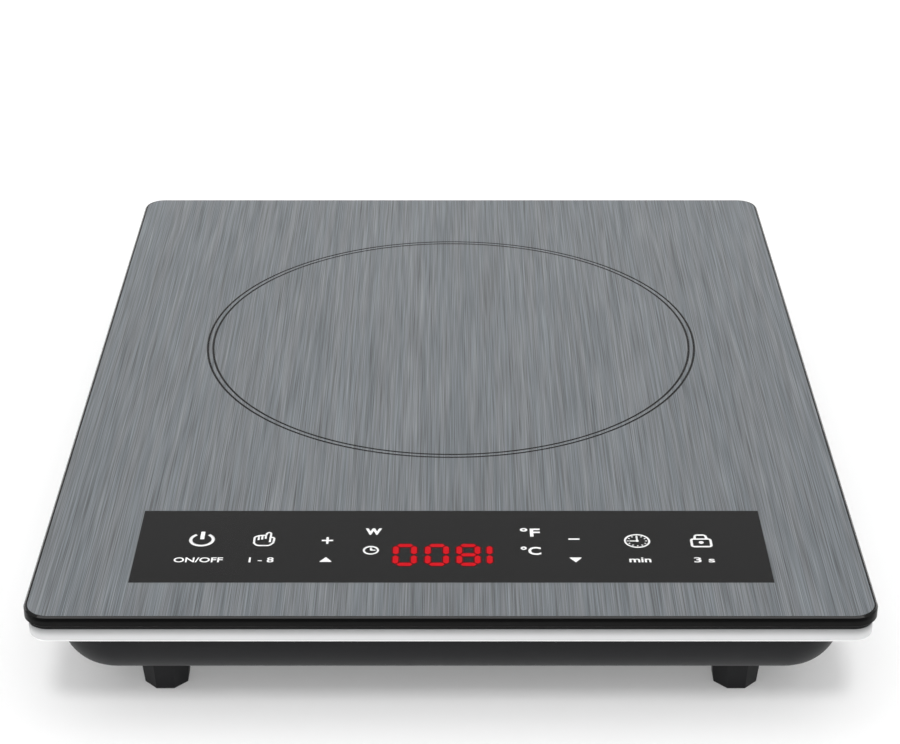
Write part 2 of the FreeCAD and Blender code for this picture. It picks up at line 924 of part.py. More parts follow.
def cord_entry(body):
    """A box in the rounded rear edge, so that the cord gland has a flat wall to sit in."""
    half = size.entry_width / 2
    depth = size.tub_rounding
    low = floor_bottom + size.entry_gap
    high = trim_bottom - size.lip_drop - size.entry_gap
    Outline(body, low).box(entry_x - half, entry_x + half, tub_y - depth, tub_y).pad(high - low)
    bottom_edge = lies_at(low)
    finish_edges(
        body,
        "Fillet",
        size.entry_rounding,
        lambda edge: bottom_edge(edge) and edge.BoundBox.YMin > value_of(tub_y - size.overlap),
    )
    inside = Outline(body, trim_bottom)
    wall = size.tub_wall
    inside.box(entry_x - half + wall, entry_x + half - wall, tub_y - depth - size.overlap, tub_y - wall)
    inside.cut(trim_bottom - floor_top)


def housing_posts(body):
    """Posts for the trim frame, the feet, the coil, the fan and both boards, all rising from the floor."""
    base = floor_top - size.tub_wall / 5
    groups = (
        (posts, size.post_radius, post_top),
        (feet, size.boss_radius, foot_boss_top),
        (ears, size.bush_radius, coil_post_top),
        (fan_mounts, size.standoff_radius, standoff_top),
        (board_holes, size.standoff_radius, standoff_top),
        (control_holes, size.bracket_post_radius, bracket_bottom),
    )
    for places, radius, top in groups:
        outline = Outline(body, base)
        for x, y in places:
            outline.post(x, y, radius)
        outline.pad(top - base)


def housing_bores(body):
    """Screw holes: wells from below for the case and the feet, pilots from above for what is inside."""
    wells = Outline(body, floor_bottom)
    throats = Outline(body, post_top)
    for x, y in posts:
        wells.post(x, y, head_hole)
        throats.post(x, y, screw_hole)
    wells.cut(post_seat - floor_bottom, upward=True)
    throats.cut(post_top - post_seat + size.overlap)
    foot_pilots = Outline(body, floor_bottom)
    for x, y in feet:
        foot_pilots.post(x, y, screw_hole)
    foot_pilots.cut(foot_boss_top - floor_bottom - size.overlap, upward=True)
    low = floor_bottom + size.tub_wall / 2
    for places, top in (
        (ears, coil_post_top),
        (fan_mounts, standoff_top),
        (board_holes, standoff_top),
        (control_holes, bracket_bottom),
    ):
        pilots = Outline(body, top)
        for x, y in places:
            pilots.post(x, y, screw_hole)
        pilots.cut(top - low)
    gland = Outline(body, -tub_y - size.overlap, "XZ_Plane")
    gland.circle(entry_x, entry_z, size.entry_bore + size.gland_wall + size.screw_clearance)
    gland.cut(size.tub_wall + 2 * size.overlap, upward=True)


def fan_scroll(body):
    """The curved wall round the fan, open towards the heat sink."""
    scroll = Outline(body, floor_bottom + size.overlap)
    scroll.sector(fan_x, fan_y, scroll_inner, scroll_inner + size.rib_wall, SCROLL_MOUTH, 360 - SCROLL_MOUTH)
    scroll.pad(rotor_top - floor_bottom - size.overlap)


def floor_ribs(body):
    """Stiffening ribs across the floor, between the posts."""
    ribs = Outline(body, floor_bottom + size.overlap)
    half = size.rib_wall / 2
    for y in (control_rear + size.front_rib_back, coil_y + size.rear_rib_back):
        ribs.box(-foot_x, foot_x, y - half, y + half)
    ribs.pad(size.rib_height + size.tub_wall - size.overlap)


def fan_grille(body):
    """Rings of curved slots under the fan: one group of slots, repeated six times about the fan's axis."""
    slots = Outline(body, 0)
    bind(slots.sketch, ".AttachmentOffset.Base.x", fan_x)
    bind(slots.sketch, ".AttachmentOffset.Base.y", fan_y)
    bind(slots.sketch, ".AttachmentOffset.Base.z", floor_bottom)
    pitch = size.grille_bar + size.grille_slot
    half_group = 180 / GRILLE_GROUPS
    for number in range(1, GRILLE_RINGS + 1):
        inner = pitch * number
        outer = inner + size.grille_slot
        edge = math.degrees(value_of(size.grille_bar) / 2 / value_of(inner + size.grille_slot / 2))
        slots.sector(0, 0, inner, outer, edge - half_group, half_group - edge)
    opening = slots.cut(size.tub_wall, upward=True)
    repeat_round(body, opening, (slots.sketch, ["N_Axis"]), GRILLE_GROUPS)


def rear_vents(body):
    """A row of upright outlet slots in the rear wall, left of the cord entry."""
    slot = Outline(body, -tub_y - size.overlap, "XZ_Plane")
    left = -foot_x - size.trim_ear_reach
    high = rim_bottom - size.vent_drop
    slot.box(left, left + size.vent_width, high - size.vent_height, high)
    opening = slot.cut(size.tub_rounding / 2 + size.tub_wall, upward=True)
    reach = size.vent_pitch * (size.vent_count - 1)
    repeat_along(body, opening, (slot.sketch, ["H_Axis"]), reach, size.vent_count)


# ---------------------------------------------------------------------------------- feet and case screws


def foot(label, x, y):
    """An eight-sided tapered foot with a seat for its rubber pad and a deep well for its screw."""
    body = new_body(label, x, y)
    low = Outline(body, foot_base).octagon(0, 0, size.foot_bottom)
    high = Outline(body, floor_bottom).octagon(0, 0, size.foot_top)
    loft = body.newObject("PartDesign::AdditiveLoft", "taper")
    loft.Profile = low.sketch
    loft.Sections = [high.sketch]
    loft.Ruled = True
    pad_hole = size.pad_width + 2 * size.screw_clearance
    Outline(body, foot_base).octagon(0, 0, pad_hole).cut(size.pad_seat, upward=True)
    Outline(body, foot_base).post(0, 0, head_hole).cut(size.foot_seat - foot_base, upward=True)
    Outline(body, floor_bottom).post(0, 0, screw_hole).cut(floor_bottom - size.foot_seat + size.overlap)


def foot_pad(label, x, y):
    body = new_body(label, x, y)
    Outline(body, 0).octagon(0, 0, size.pad_width).pad(foot_base + size.pad_seat)
    finish_edges(body, "Chamfer", size.pad_stand_out / 2, lies_at(0))


def feet_and_screws():
    for end_name, end in ENDS.items():
        for side_name, side in SIDES.items():
            foot(f"foot_{end_name}_{side_name}", side * foot_x, end * foot_y)
            foot_pad(f"foot_pad_{end_name}_{side_name}", side * foot_x, end * foot_y)
    reach = trim_top - size.trim_plate - post_seat
    screws("case_screws", [(feet, size.foot_seat), (posts, post_seat)], reach, head_up=False)


# ---------------------------------------------------------------------------------- mains entry


def cord_gland():
    """A bush through the rear wall, flanged on both sides, with an open bore for the power cord."""
    quarter = FreeCAD.Rotation(FreeCAD.Vector(1, 0, 0), -90)
    body = new_body("cord_gland", entry_x, tub_y, entry_z, quarter)
    bore = size.entry_bore
    neck = bore + size.gland_wall
    out = size.gland_stand_out
    profile = [
        (bore, -size.tub_wall - size.gland_lock),
        (neck + size.gland_collar, -size.tub_wall - size.gland_lock),
        (neck + size.gland_collar, -size.tub_wall),
        (neck, -size.tub_wall),
        (neck, 0),
        (size.gland_flange, 0),
        (size.gland_flange, out / 3),
        (neck + size.gland_nose, out),
        (bore, out),
    ]
    Outline(body, 0, "XZ_Plane").path(profile).turn()


def terminal_block():
    """A three-pole screw terminal standing on the floor in front of the cord gland."""
    body = new_body("terminal_block")
    low_x = entry_x - size.block_length / 2
    high_x = low_x + size.block_length
    top = floor_top + size.block_height
    Outline(body, floor_top).box(low_x, high_x, block_front, block_rear).pad(size.block_height)
    step = Outline(body, top).box(low_x, high_x, block_rear - size.block_step, block_rear)
    step.cut(size.block_height / 3)
    wells = Outline(body, top)
    mouths = Outline(body, -block_rear, "XZ_Plane")
    for x in pole_places():
        wells.post(x, block_rear - size.block_screw_back, head_hole)
        mouths.post(x, pole_level, size.block_mouth)
    wells.cut(size.block_screw_depth)
    mouths.cut(size.block_screw_back - size.overlap, upward=True)


def pole_places():
    pitch = size.block_length / 3
    return [entry_x + pitch * number for number in (-1, 0, 1)]


def terminal_screws():
    body = new_body("terminal_screws")
    heads = Outline(body, floor_top + size.block_height - size.block_screw_depth)
    for x in pole_places():
        heads.polygon(x, block_rear - size.block_screw_back, size.screw_head_radius, 6)
    heads.pad(size.screw_head_height)


# ---------------------------------------------------------------------------------- fan


def fan_frame():
    """The open frame that carries the motor: outer ring, hub plate, four spokes and the bearing tube."""
    body = new_body("fan_frame", fan_x, fan_y)
    Outline(body, frame_bottom).ring(0, 0, frame_inner, frame_outer).pad(size.frame_ring)
    Outline(body, frame_bottom).circle(0, 0, magnet_inner).pad(size.frame_plate)
    half = size.spoke_width / 2
    spoke = Outline(body, frame_bottom)
    spoke.box(magnet_inner - size.overlap, frame_inner + size.overlap, -half, half)
    repeat_round(body, spoke.pad(size.frame_plate), (origin_item(body, "Z_Axis"), [""]), MOTOR_POLES)
    mounts = Outline(body, frame_bottom)
    for angle in mount_angles:
        mounts.circle(*polar(0, 0, mount_radius, angle), size.standoff_radius)
    mounts.pad(size.frame_ring)
    Outline(body, frame_bottom).circle(0, 0, tube_outer).pad(tube_top - frame_bottom)
    Outline(body, tube_top).circle(0, 0, bearing_outer).cut(tube_top - tube_floor)
    holes = Outline(body, frame_top)
    for angle in mount_angles:
        holes.post(*polar(0, 0, mount_radius, angle), screw_hole)
    holes.cut(size.frame_ring)


def fan_bearing():
    body = new_body("fan_bearing", fan_x, fan_y)
    bottom = tube_floor + size.bearing_lift
    top = tube_top - size.bearing_drop
    Outline(body, bottom).ring(0, 0, bearing_inner, bearing_outer).pad(top - bottom)


def fan_motor_board():
    body = new_body("fan_motor_board", fan_x, fan_y)
    board = Outline(body, plate_top)
    board.ring(0, 0, tube_outer + size.motor_board_gap, stator_radius - size.shoe_depth)
    board.pad(size.motor_board_thickness)


def fan_core():
    """The laminated core: a ring on the bearing tube with four T-shaped poles."""
    body = new_body("fan_core", fan_x, fan_y)
    thickness = core_top - core_bottom
    core_inner = tube_outer + size.core_fit
    half = size.pole_width / 2
    Outline(body, core_bottom).ring(0, 0, core_inner, tube_outer + size.core_wall).pad(thickness)
    neck = Outline(body, core_bottom)
    neck.box(tube_outer + size.core_wall / 2, stator_radius - size.shoe_depth / 2, -half, half)
    shoe = Outline(body, core_bottom)
    shoe.sector(0, 0, stator_radius - size.shoe_depth, stator_radius, -SHOE_ANGLE, SHOE_ANGLE)
    axis = (origin_item(body, "Z_Axis"), [""])
    repeat_round(body, neck.pad(thickness), axis, MOTOR_POLES)
    repeat_round(body, shoe.pad(thickness), axis, MOTOR_POLES)


def fan_windings():
    """Four coils, one wound round each neck of the core."""
    body = new_body("fan_windings", fan_x, fan_y)
    bottom = plate_top + size.winding_lift
    height = tube_top - size.winding_drop - bottom
    low = tube_outer + size.core_wall + size.winding_gap
    high = stator_radius - size.shoe_depth - size.winding_gap
    half = size.winding_width / 2
    coil = Outline(body, bottom).rounded(low, high, -half, half, size.winding_corner)
    axis = (origin_item(body, "Z_Axis"), [""])
    repeat_round(body, coil.pad(height), axis, MOTOR_POLES)
    fit = size.winding_fit
    half_neck = size.pole_width / 2 + fit
    neck = Outline(body, core_top + fit)
    neck.box(low - size.overlap, high + size.overlap, -half_neck, half_neck)
    opening = neck.cut(core_top - core_bottom + 2 * fit)
    repeat_round(body, opening, axis, MOTOR_POLES)


def fan_rotor():
    """The impeller: hub cup, top plate, eleven backward-curved blades and a lower stiffening ring."""
    body = new_body("fan_rotor", fan_x, fan_y)
    radius = size.fan_radius
    hub = size.fan_hub_radius
    under_plate = rotor_top - size.fan_hub_wall
    profile = [
        (size.shaft_radius, under_plate - size.rotor_boss),
        (size.shaft_radius * 2, under_plate - size.rotor_boss),
        (size.shaft_radius * 2, under_plate),
        (hub_inner, under_plate),
        (hub_inner, blade_bottom),
        (hub, blade_bottom),
        (hub, blade_top),
        (radius, blade_top),
        (radius, rotor_top - size.rotor_edge),
        (radius - size.rotor_edge, rotor_top),
        (size.shaft_radius, rotor_top),
    ]
    Outline(body, 0, "XZ_Plane").path(profile).turn()
    wall = size.fan_blade_wall
    start = size.fan_blade_start
    blade = Outline(body, blade_bottom)
    tip = polar(0, 0, radius - size.blade_inset, BLADE_TIP)
    tail = polar(0, 0, radius - size.blade_inset - wall, BLADE_TAIL)
    bend = radius * BLADE_BEND
    blade.path([(start, -wall), tail, tip, (start + wall, 0)], [-(bend - wall), None, bend, None])
    blade_pad = blade.pad(size.fan_blade_height + size.blade_bite)
    repeat_round(body, blade_pad, (origin_item(body, "Z_Axis"), [""]), size.fan_blade_count)
    lower_ring = Outline(body, blade_bottom).ring(0, 0, radius - size.rotor_ring_width, radius)
    lower_ring.pad(size.rotor_ring_thickness)


def fan_magnet():
    body = new_body("fan_magnet", fan_x, fan_y)
    bottom = blade_bottom + size.magnet_lift
    top = rotor_top - size.fan_hub_wall
    Outline(body, bottom).ring(0, 0, magnet_inner, hub_inner).pad(top - bottom)


def fan_shaft():
    body = new_body("fan_shaft", fan_x, fan_y)
    bottom = tube_floor + size.shaft_lift
    Outline(body, bottom).circle(0, 0, size.shaft_radius).pad(rotor_top - bottom)
    finish_edges(body, "Chamfer", size.shaft_radius / 4, lies_at(bottom))


# ---------------------------------------------------------------------------------- coil


def coil_carrier():
    """The spoked moulding that carries the winding, with three ears on silicone bushes."""
    body = new_body("coil_carrier", coil_x, coil_y)
    Outline(body, carrier_bottom).ring(0, 0, size.carrier_hole, carrier_radius).pad(size.carrier_thickness)
    ear = Outline(body, carrier_bottom)
    half = size.ear_width / 2
    ear.rounded(size.coil_radius, ear_radius + size.ear_end, -half, half, size.carrier_band)
    axis = (origin_item(body, "Z_Axis"), [""])
    repeat_round(body, ear.pad(size.carrier_thickness), axis, len(ear_angles))
    bind(ear.sketch, ".AttachmentOffset.Rotation.Angle", ear_angles[0])
    windows = Outline(body, coil_bottom)
    windows.sector(0, 0, *inner_window, -INNER_WINDOW_ANGLE, INNER_WINDOW_ANGLE)
    windows.sector(0, 0, *outer_window, -OUTER_WINDOW_ANGLE, OUTER_WINDOW_ANGLE)
    repeat_round(body, windows.cut(size.carrier_thickness), axis, CARRIER_SPOKES)
    holes = Outline(body, coil_bottom)
    for angle in ear_angles:
        holes.post(*polar(0, 0, ear_radius, angle), screw_hole)
    holes.cut(size.carrier_thickness)


def coil_winding():
    """Two flat spirals of twisted wire, one inside the other."""
    body = new_body("coil_winding", coil_x, coil_y)
    half_gap = size.coil_gap / 2
    spirals = Outline(body, coil_bottom)
    spirals.ring(0, 0, size.coil_inner, coil_middle - half_gap)
    spirals.ring(0, 0, coil_middle + half_gap, size.coil_radius)
    spirals.pad(size.coil_height)


def ferrite_bars():
    body = new_body("ferrite_bars", coil_x, coil_y)
    start = size.coil_inner + size.ferrite_start
    half = size.ferrite_width / 2
    bar = Outline(body, ferrite_bottom).box(start, start + size.ferrite_length, -half, half)
    bind(bar.sketch, ".AttachmentOffset.Rotation.Angle", 180 / CARRIER_SPOKES)
    repeat_round(body, bar.pad(size.ferrite_thickness), (origin_item(body, "Z_Axis"), [""]), CARRIER_SPOKES)


def mica_sheet():
    body = new_body("mica_sheet", coil_x, coil_y)
    sheet_outline = Outline(body, glass_bottom - size.mica_thickness)
    sheet_outline.ring(0, 0, size.carrier_hole - size.mica_overlap, carrier_radius)
    sheet_outline.pad(size.mica_thickness)


def coil_bushes():
    body = new_body("coil_bushes")
    outline = Outline(body, coil_post_top)
    for x, y in ears:
        outline.post(x, y, screw_hole).post(x, y, size.bush_radius)
    outline.pad(size.bush_height)


def sensor_cup():
    """The silicone cup in the middle of the coil that presses the sensor against the glass."""
    body = new_body("sensor_cup", coil_x, coil_y)
    rim = size.carrier_hole + size.cup_flange
    cup_floor = coil_bottom + size.cup_floor
    top = glass_bottom - size.mica_thickness
    profile = [
        (size.sensor_radius, coil_bottom),
        (rim, coil_bottom),
        (rim, cup_floor),
        (size.cup_base, cup_floor),
        (size.cup_top, top),
        (size.sensor_radius, top),
    ]
    Outline(body, 0, "XZ_Plane").path(profile).turn()


def temperature_sensor():
    body = new_body("temperature_sensor", coil_x, coil_y)
    bottom = coil_bottom - size.sensor_drop
    Outline(body, bottom).circle(0, 0, size.sensor_radius).pad(glass_bottom - bottom)


# ---------------------------------------------------------------------------------- main board


def main_board():
    body = new_body("main_board")
    outline = Outline(body, standoff_top)
    outline.rounded(board_left, board_right, board_front, board_rear, size.board_corner)
    for x, y in board_holes:
        outline.post(x, y, screw_hole)
    outline.pad(size.board_thickness)


def heat_sink():
    """A finned extrusion over the power parts. Its fins run across the board, along the fan's air stream."""
    body = new_body("heat_sink")
    left = board_left + size.sink_from_left
    low = sink_rear - size.sink_width
    high = sink_rear
    base = board_top + size.package_height
    top = board_top + size.part_height
    fin = size.sink_fin
    leg = size.sink_leg
    Outline(body, left, "YZ_Plane").box(low, high, base, base + size.sink_base).pad(size.sink_length)
    legs = Outline(body, left, "YZ_Plane")
    legs.box(low, low + leg, board_top, base + size.overlap)
    legs.box(high - leg, high, board_top, base + size.overlap)
    legs.pad(size.sink_length)
    blade = Outline(body, left, "YZ_Plane").box(low, low + fin, base + size.overlap, top)
    fin_pad = blade.pad(size.sink_length)
    repeat_along(body, fin_pad, (blade.sketch, ["H_Axis"]), size.sink_width - fin, size.sink_fin_count)


def flat_package(label, low_x, low_y, width, depth, leg_places):
    """A flat power package lying under the heat sink, with its legs bent down into the board."""
    body = new_body(label)
    leg = size.leg_thickness
    near = low_y - size.leg_reach
    package = Outline(body, board_top + leg).box(low_x, low_x + width, low_y, low_y + depth)
    package.pad(size.package_height - leg)
    legs = Outline(body, board_top)
    arms = Outline(body, board_top + size.package_height / 2)
    for place in leg_places:
        left = low_x + width * place - leg
        right = low_x + width * place + leg
        legs.box(left, right, near, near + size.leg_foot)
        arms.box(left, right, near, low_y + size.leg_bite)
    legs.pad(size.package_height / 2 + leg)
    arms.pad(leg)


def power_packages():
    left = board_left + size.package_from_left
    middle = sink_rear - size.sink_width / 2
    rear = middle + size.transistor_start
    front = middle - size.rectifier_start
    transistor = (size.transistor_width, size.transistor_depth)
    rectifier = (size.rectifier_width, size.rectifier_depth)
    flat_package("power_transistor", left, rear, *transistor, TRANSISTOR_LEGS)
    flat_package("bridge_rectifier", left, front, *rectifier, RECTIFIER_LEGS)


def film_capacitors():
    right = board_right - size.film_from_right
    top = board_top + size.part_height
    for label, length, place in (
        ("resonant_capacitor", size.film_length, size.resonant_place),
        ("smoothing_capacitor", size.film_length, size.smoothing_place),
        ("mains_capacitor", size.mains_film_length, size.mains_place),
    ):
        front = board_rear - place
        rear = front + size.film_depth
        block(label, right - length, right, front, rear, board_top, top, size.film_corner)


def filter_choke():
    """A toroidal mains choke lying flat on its base."""
    body = new_body("filter_choke", board_right - size.choke_from_right, board_rear - size.choke_place)
    top = board_top + size.part_height
    inner = size.choke_inner
    outer = size.choke_outer
    edge = size.choke_edge
    profile = [
        (inner, board_top),
        (outer - edge / 2, board_top),
        (outer, board_top + edge),
        (outer, top - edge),
        (outer - edge, top),
        (inner + edge / 2, top),
    ]
    Outline(body, 0, "XZ_Plane").path(profile).turn()


def board_parts():
    """The smaller parts of the main board that each have a package of their own."""
    left = board_left + size.sensing_from_left
    front = board_front + size.sensing_from_front
    right = left + size.sensing_width
    rear = front + size.sensing_depth
    block("current_transformer", left, right, front, rear, board_top, board_top + size.sensing_height, 1)
    varistor = new_body("varistor", board_left + size.disc_from_left, board_front + size.disc_from_front)
    disc = Outline(varistor, 0, "XZ_Plane").circle(0, board_top + size.disc_lift, size.disc_radius)
    disc.pad(size.disc_thickness)
    wires = Outline(varistor, board_top)
    for x in (-size.disc_wire_gap, size.disc_wire_gap):
        wires.circle(x, -size.disc_thickness / 2, size.disc_wire_radius)
    wires.pad(size.disc_lift / 2)


def controller_chips():
    """The controller on the main board and the display driver on the control board."""
    body = new_body("controller_chips")
    left = board_left + size.chip_from_left
    front = board_front + size.chip_from_front
    chip = Outline(body, board_top).box(left, left + size.chip_width, front, front + size.chip_depth)
    chip.pad(size.chip_height)
    left = size.driver_place
    front = control_front + size.driver_from_front
    driver = Outline(body, control_top).box(left, left + size.driver_width, front, front + size.driver_depth)
    driver.pad(size.driver_height)


def supply_transformer():
    """A small ferrite-core transformer: E-shaped core round a bobbin."""
    body = new_body("supply_transformer")
    x = board_left + size.supply_from_left
    y = board_front + size.supply_from_front
    half = size.supply_width / 2
    base_half = size.supply_base / 2
    base = Outline(body, board_top).box(x - half, x + half, y - base_half, y + base_half)
    base.pad(size.supply_foot)
    half_width = size.bobbin_width / 2
    half_depth = size.bobbin_depth / 2
    bobbin = Outline(body, board_top + size.supply_foot / 2)
    bobbin.box(x - half_width, x + half_width, y - half_depth, y + half_depth)
    bobbin.pad(size.bobbin_height)
    core_half = size.supply_core / 2
    core = Outline(body, board_top + size.supply_lift).box(x - half, x + half, y - core_half, y + core_half)
    core.pad(size.supply_core_height)


def electrolytic_capacitors():
    body = new_body("electrolytic_capacitors")
    cans = Outline(body, board_top)
    for number in range(CAN_COUNT):
        x = board_left + size.can_from_left + size.can_pitch * number
        cans.circle(x, board_front + size.can_from_front, size.can_radius)
    cans.pad(size.can_height)
    finish_edges(body, "Chamfer", size.can_edge, lies_at(board_top + size.can_height))


def mains_fuse():
    """A ceramic fuse lying in two clips."""
    body = new_body("mains_fuse")
    x = board_right - size.fuse_from_right
    low = board_front + size.fuse_from_front
    high = low + size.fuse_length
    tube = Outline(body, -low, "XZ_Plane").circle(x, board_top + size.fuse_lift, size.fuse_radius)
    tube.pad(size.fuse_length, reverse=True)
    left = x - size.clip_width / 2
    right = x + size.clip_width / 2
    clips = Outline(body, board_top)
    clips.box(left, right, low + size.clip_inset, low + size.clip_inset + size.clip_depth)
    clips.box(left, right, high - size.clip_inset - size.clip_depth, high - size.clip_inset)
    clips.pad(size.fuse_lift)


def board_headers():
    """Sockets for the fan, the sensor and the control board."""
    body = new_body("board_headers")
    outline = Outline(body, board_top)
    half = size.header_width / 2
    left = board_left + size.header_inset
    for y in (fan_y, coil_y):
        outline.box(left, left + size.header_depth, y - half, y + half)
    half = size.ribbon_width / 2 + 1
    front = board_front + size.ribbon_inset - size.header_depth / 2
    outline.box(ribbon_x - half, ribbon_x + half, front, front + size.header_depth)
    outline.pad(size.header_height)


def coil_terminals():
    """Two brass studs that take the ends of the coil."""
    body = new_body("coil_terminals")
    low = Outline(body, board_top)
    high = Outline(body, board_top)
    for x, y in coil_studs():
        low.polygon(x, y, size.stud_radius * 2, 6)
        high.post(x, y, size.stud_radius)
    low.pad(size.stud_height / 2)
    high.pad(size.stud_height)


def coil_studs():
    """The two studs stand side by side behind the heat sink."""
    first = board_left + size.stud_from_left
    return [(x, board_rear - size.stud_inset) for x in (first, first + size.stud_pitch)]


# ---------------------------------------------------------------------------------- control board


def control_bracket():
    """The plastic frame that holds the control board up under the glass."""
    body = new_body("control_bracket")
    wall = size.bracket_wall
    outline = Outline(body, bracket_bottom)
    outline.rounded(-control_x, control_x, control_front, control_rear, size.bracket_corner)
    middle = control_x / 3
    for low, high in ((-control_x, -middle), (-middle, middle), (middle, control_x)):
        inset = wall / 2 if value_of(low) > -value_of(control_x) else wall * 2
        outset = wall / 2 if value_of(high) < value_of(control_x) else wall * 2
        near = control_front + wall
        far = control_rear - wall
        outline.rounded(low + inset, high - outset, near, far, size.board_corner)
    for x, y in control_holes:
        outline.post(x, y, screw_hole)
    outline.pad(size.bracket_thickness)


def control_board():
    body = new_body("control_board")
    outline = Outline(body, control_bottom)
    outline.rounded(-control_x, control_x, control_front, control_rear, size.board_corner)
    for x, y in control_holes:
        outline.post(x, y, screw_hole)
    outline.pad(size.board_thickness)


def display_module():
    left = -size.display_width / 2 - size.display_shift
    front = control_front + size.display_place - size.display_depth / 2
    top = glass_bottom - size.display_gap
    right = left + size.display_width
    rear = front + size.display_depth
    block("display_module", left, right, front, rear, control_top, top, size.display_corner)


def key_places():
    """The six touch keys, three on each side of the display."""
    first = size.key_start
    return [side * (first + size.key_pitch * number) for side in (LEFT, RIGHT) for number in range(3)]


def touch_pads():
    """Conductive foam posts that carry each key's signal from the board to the glass."""
    body = new_body("touch_pads")
    outline = Outline(body, control_top)
    for x in key_places():
        outline.post(x, control_rear - size.key_place, size.key_radius)
    outline.pad(size.control_drop)


def indicator_lights():
    body = new_body("indicator_lights")
    outline = Outline(body, control_top)
    half_width = size.light_width / 2
    half_depth = size.light_depth / 2
    for x in (-size.light_place, size.light_place):
        for y in (control_rear - size.light_rear, control_rear - size.light_front):
            outline.box(x - half_width, x + half_width, y - half_depth, y + half_depth)
    outline.pad(size.light_height)


def buzzer():
    body = new_body("buzzer", -size.buzzer_place, control_front + size.buzzer_from_front)
    Outline(body, control_top).ring(0, 0, size.buzzer_hole, size.buzzer_radius).pad(size.buzzer_height)


# ---------------------------------------------------------------------------------- wiring


def signal_leads():
    """The fan's lead under its frame, and the sensor's lead down to its header."""
    body = new_body("signal_leads")
    radius = size.signal_lead_radius
    low = floor_top + size.fan_lead_lift
    header = board_left + size.header_inset + size.header_depth / 2
    header_top = board_top + size.header_height
    level = header_top + size.fan_lead_rise
    start = fan_x + size.fan_lead_start
    turn = board_left - size.fan_lead_gap
    route = [(start, frame_bottom), (start, low), (turn, low), (turn, level)]
    route += [(header, level), (header, header_top)]
    fan_spine = wire_path(body, route, "XZ_Plane", -fan_y, size.signal_lead_bend)
    Outline(body, frame_bottom).post(start, fan_y, radius).sweep(fan_spine)
    top = coil_bottom - size.sensor_drop
    level = top - size.sensor_lead_drop
    route = [(coil_x, top), (coil_x, level), (header, level), (header, header_top)]
    sensor_spine = wire_path(body, route, "XZ_Plane", -coil_y, size.signal_lead_bend)
    Outline(body, top).post(coil_x, coil_y, radius).sweep(sensor_spine)


def power_leads():
    """The coil's two ends up from their studs, and live and neutral from the board to the terminal block."""
    body = new_body("power_leads")
    low = board_top + size.stud_height
    level = low + size.coil_lead_rise
    for stud, coil_end in zip(coil_studs(), coil_ends):
        levels = (low, level, coil_bottom)
        upright_lead(body, stud, coil_end, levels, size.coil_lead_radius, size.coil_lead_bend)
    poles = pole_places()
    front = block_front - size.mains_lead_gap
    neutral = ears[0][0] - size.neutral_landing
    live = neutral - size.landing_pitch
    for landing, pole in ((live, poles[0]), (neutral, poles[2])):
        start = (landing, board_rear - size.landing_inset)
        levels = (board_top, pole_level)
        upright_lead(body, start, (pole, front), levels, size.mains_lead_radius, size.mains_lead_bend)


def upright_lead(body, start, stop, levels, radius, bend):
    """A round lead in one upright plane: up from its start, level to its stop, and up again if it has a top."""
    x, y = start
    run, heading = span(stop[0] - x, stop[1] - y)
    route = [(0, levels[0]), (0, levels[1]), (run, levels[1])]
    route += [(run, level) for level in levels[2:]]
    spine = wire_path(body, route, "XZ_Plane", -y, bend)
    yaw = FreeCAD.Rotation(FreeCAD.Vector(0, 1, 0), value_of(heading))
    spine.sketch.AttachmentOffset = FreeCAD.Placement(FreeCAD.Vector(value_of(x), 0, -value_of(y)), yaw)
    bind(spine.sketch, ".AttachmentOffset.Base.x", x)
    bind(spine.sketch, ".AttachmentOffset.Rotation.Angle", heading)
    Outline(body, levels[0]).post(x, y, radius).sweep(spine)


def ribbon_cable():
    """The flat cable between the two boards: an S in side view, inside the bracket's right-hand window."""
    body = new_body("ribbon_cable")
    near = board_front + size.ribbon_inset
    far = control_rear - size.ribbon_inset
    top = bracket_bottom + size.bracket_thickness
    low = board_top + size.header_height
    level = (top + low) / 2
    half = size.ribbon_thickness / 2
    side = Outline(body, ribbon_x - size.ribbon_width / 2, "YZ_Plane")
    side.path(
        [
            (near - half, low),
            (near + half, low),
            (near + half, level + half),
            (far + half, level + half),
            (far + half, top),
            (far - half, top),
            (far - half, level - half),
            (near - half, level - half),
        ]
    )
    side.pad(size.ribbon_width)


# ---------------------------------------------------------------------------------- the whole


def inner_screws():
    board_depth = board_top - floor_bottom - size.screw_floor
    coil_depth = coil_bottom - coil_post_top + size.coil_screw_bite
    control_depth = control_top - bracket_bottom + size.control_screw_bite
    screws("board_screws", [(fan_mounts, frame_top), (board_holes, board_top)], board_depth)
    screws("coil_screws", [(ears, coil_bottom)], coil_depth)
    screws("control_screws", [(control_holes, control_top)], control_depth)


def build():
    for make in (
        glass_plate,
        glass_seal,
        trim_frame,
        lower_housing,
        feet_and_screws,
        cord_gland,
        terminal_block,
        terminal_screws,
        fan_frame,
        fan_bearing,
        fan_motor_board,
        fan_core,
        fan_windings,
        fan_rotor,
        fan_magnet,
        fan_shaft,
        coil_carrier,
        coil_winding,
        ferrite_bars,
        mica_sheet,
        coil_bushes,
        sensor_cup,
        temperature_sensor,
        main_board,
        heat_sink,
        power_packages,
        film_capacitors,
        filter_choke,
        board_parts,
        controller_chips,
        supply_transformer,
        electrolytic_capacitors,
        mains_fuse,
        board_headers,
        coil_terminals,
        control_bracket,
        control_board,
        display_module,
        touch_pads,
        indicator_lights,
        buzzer,
        signal_leads,
        power_leads,
        ribbon_cable,
        inner_screws,
    ):
        make()
    doc.recompute()


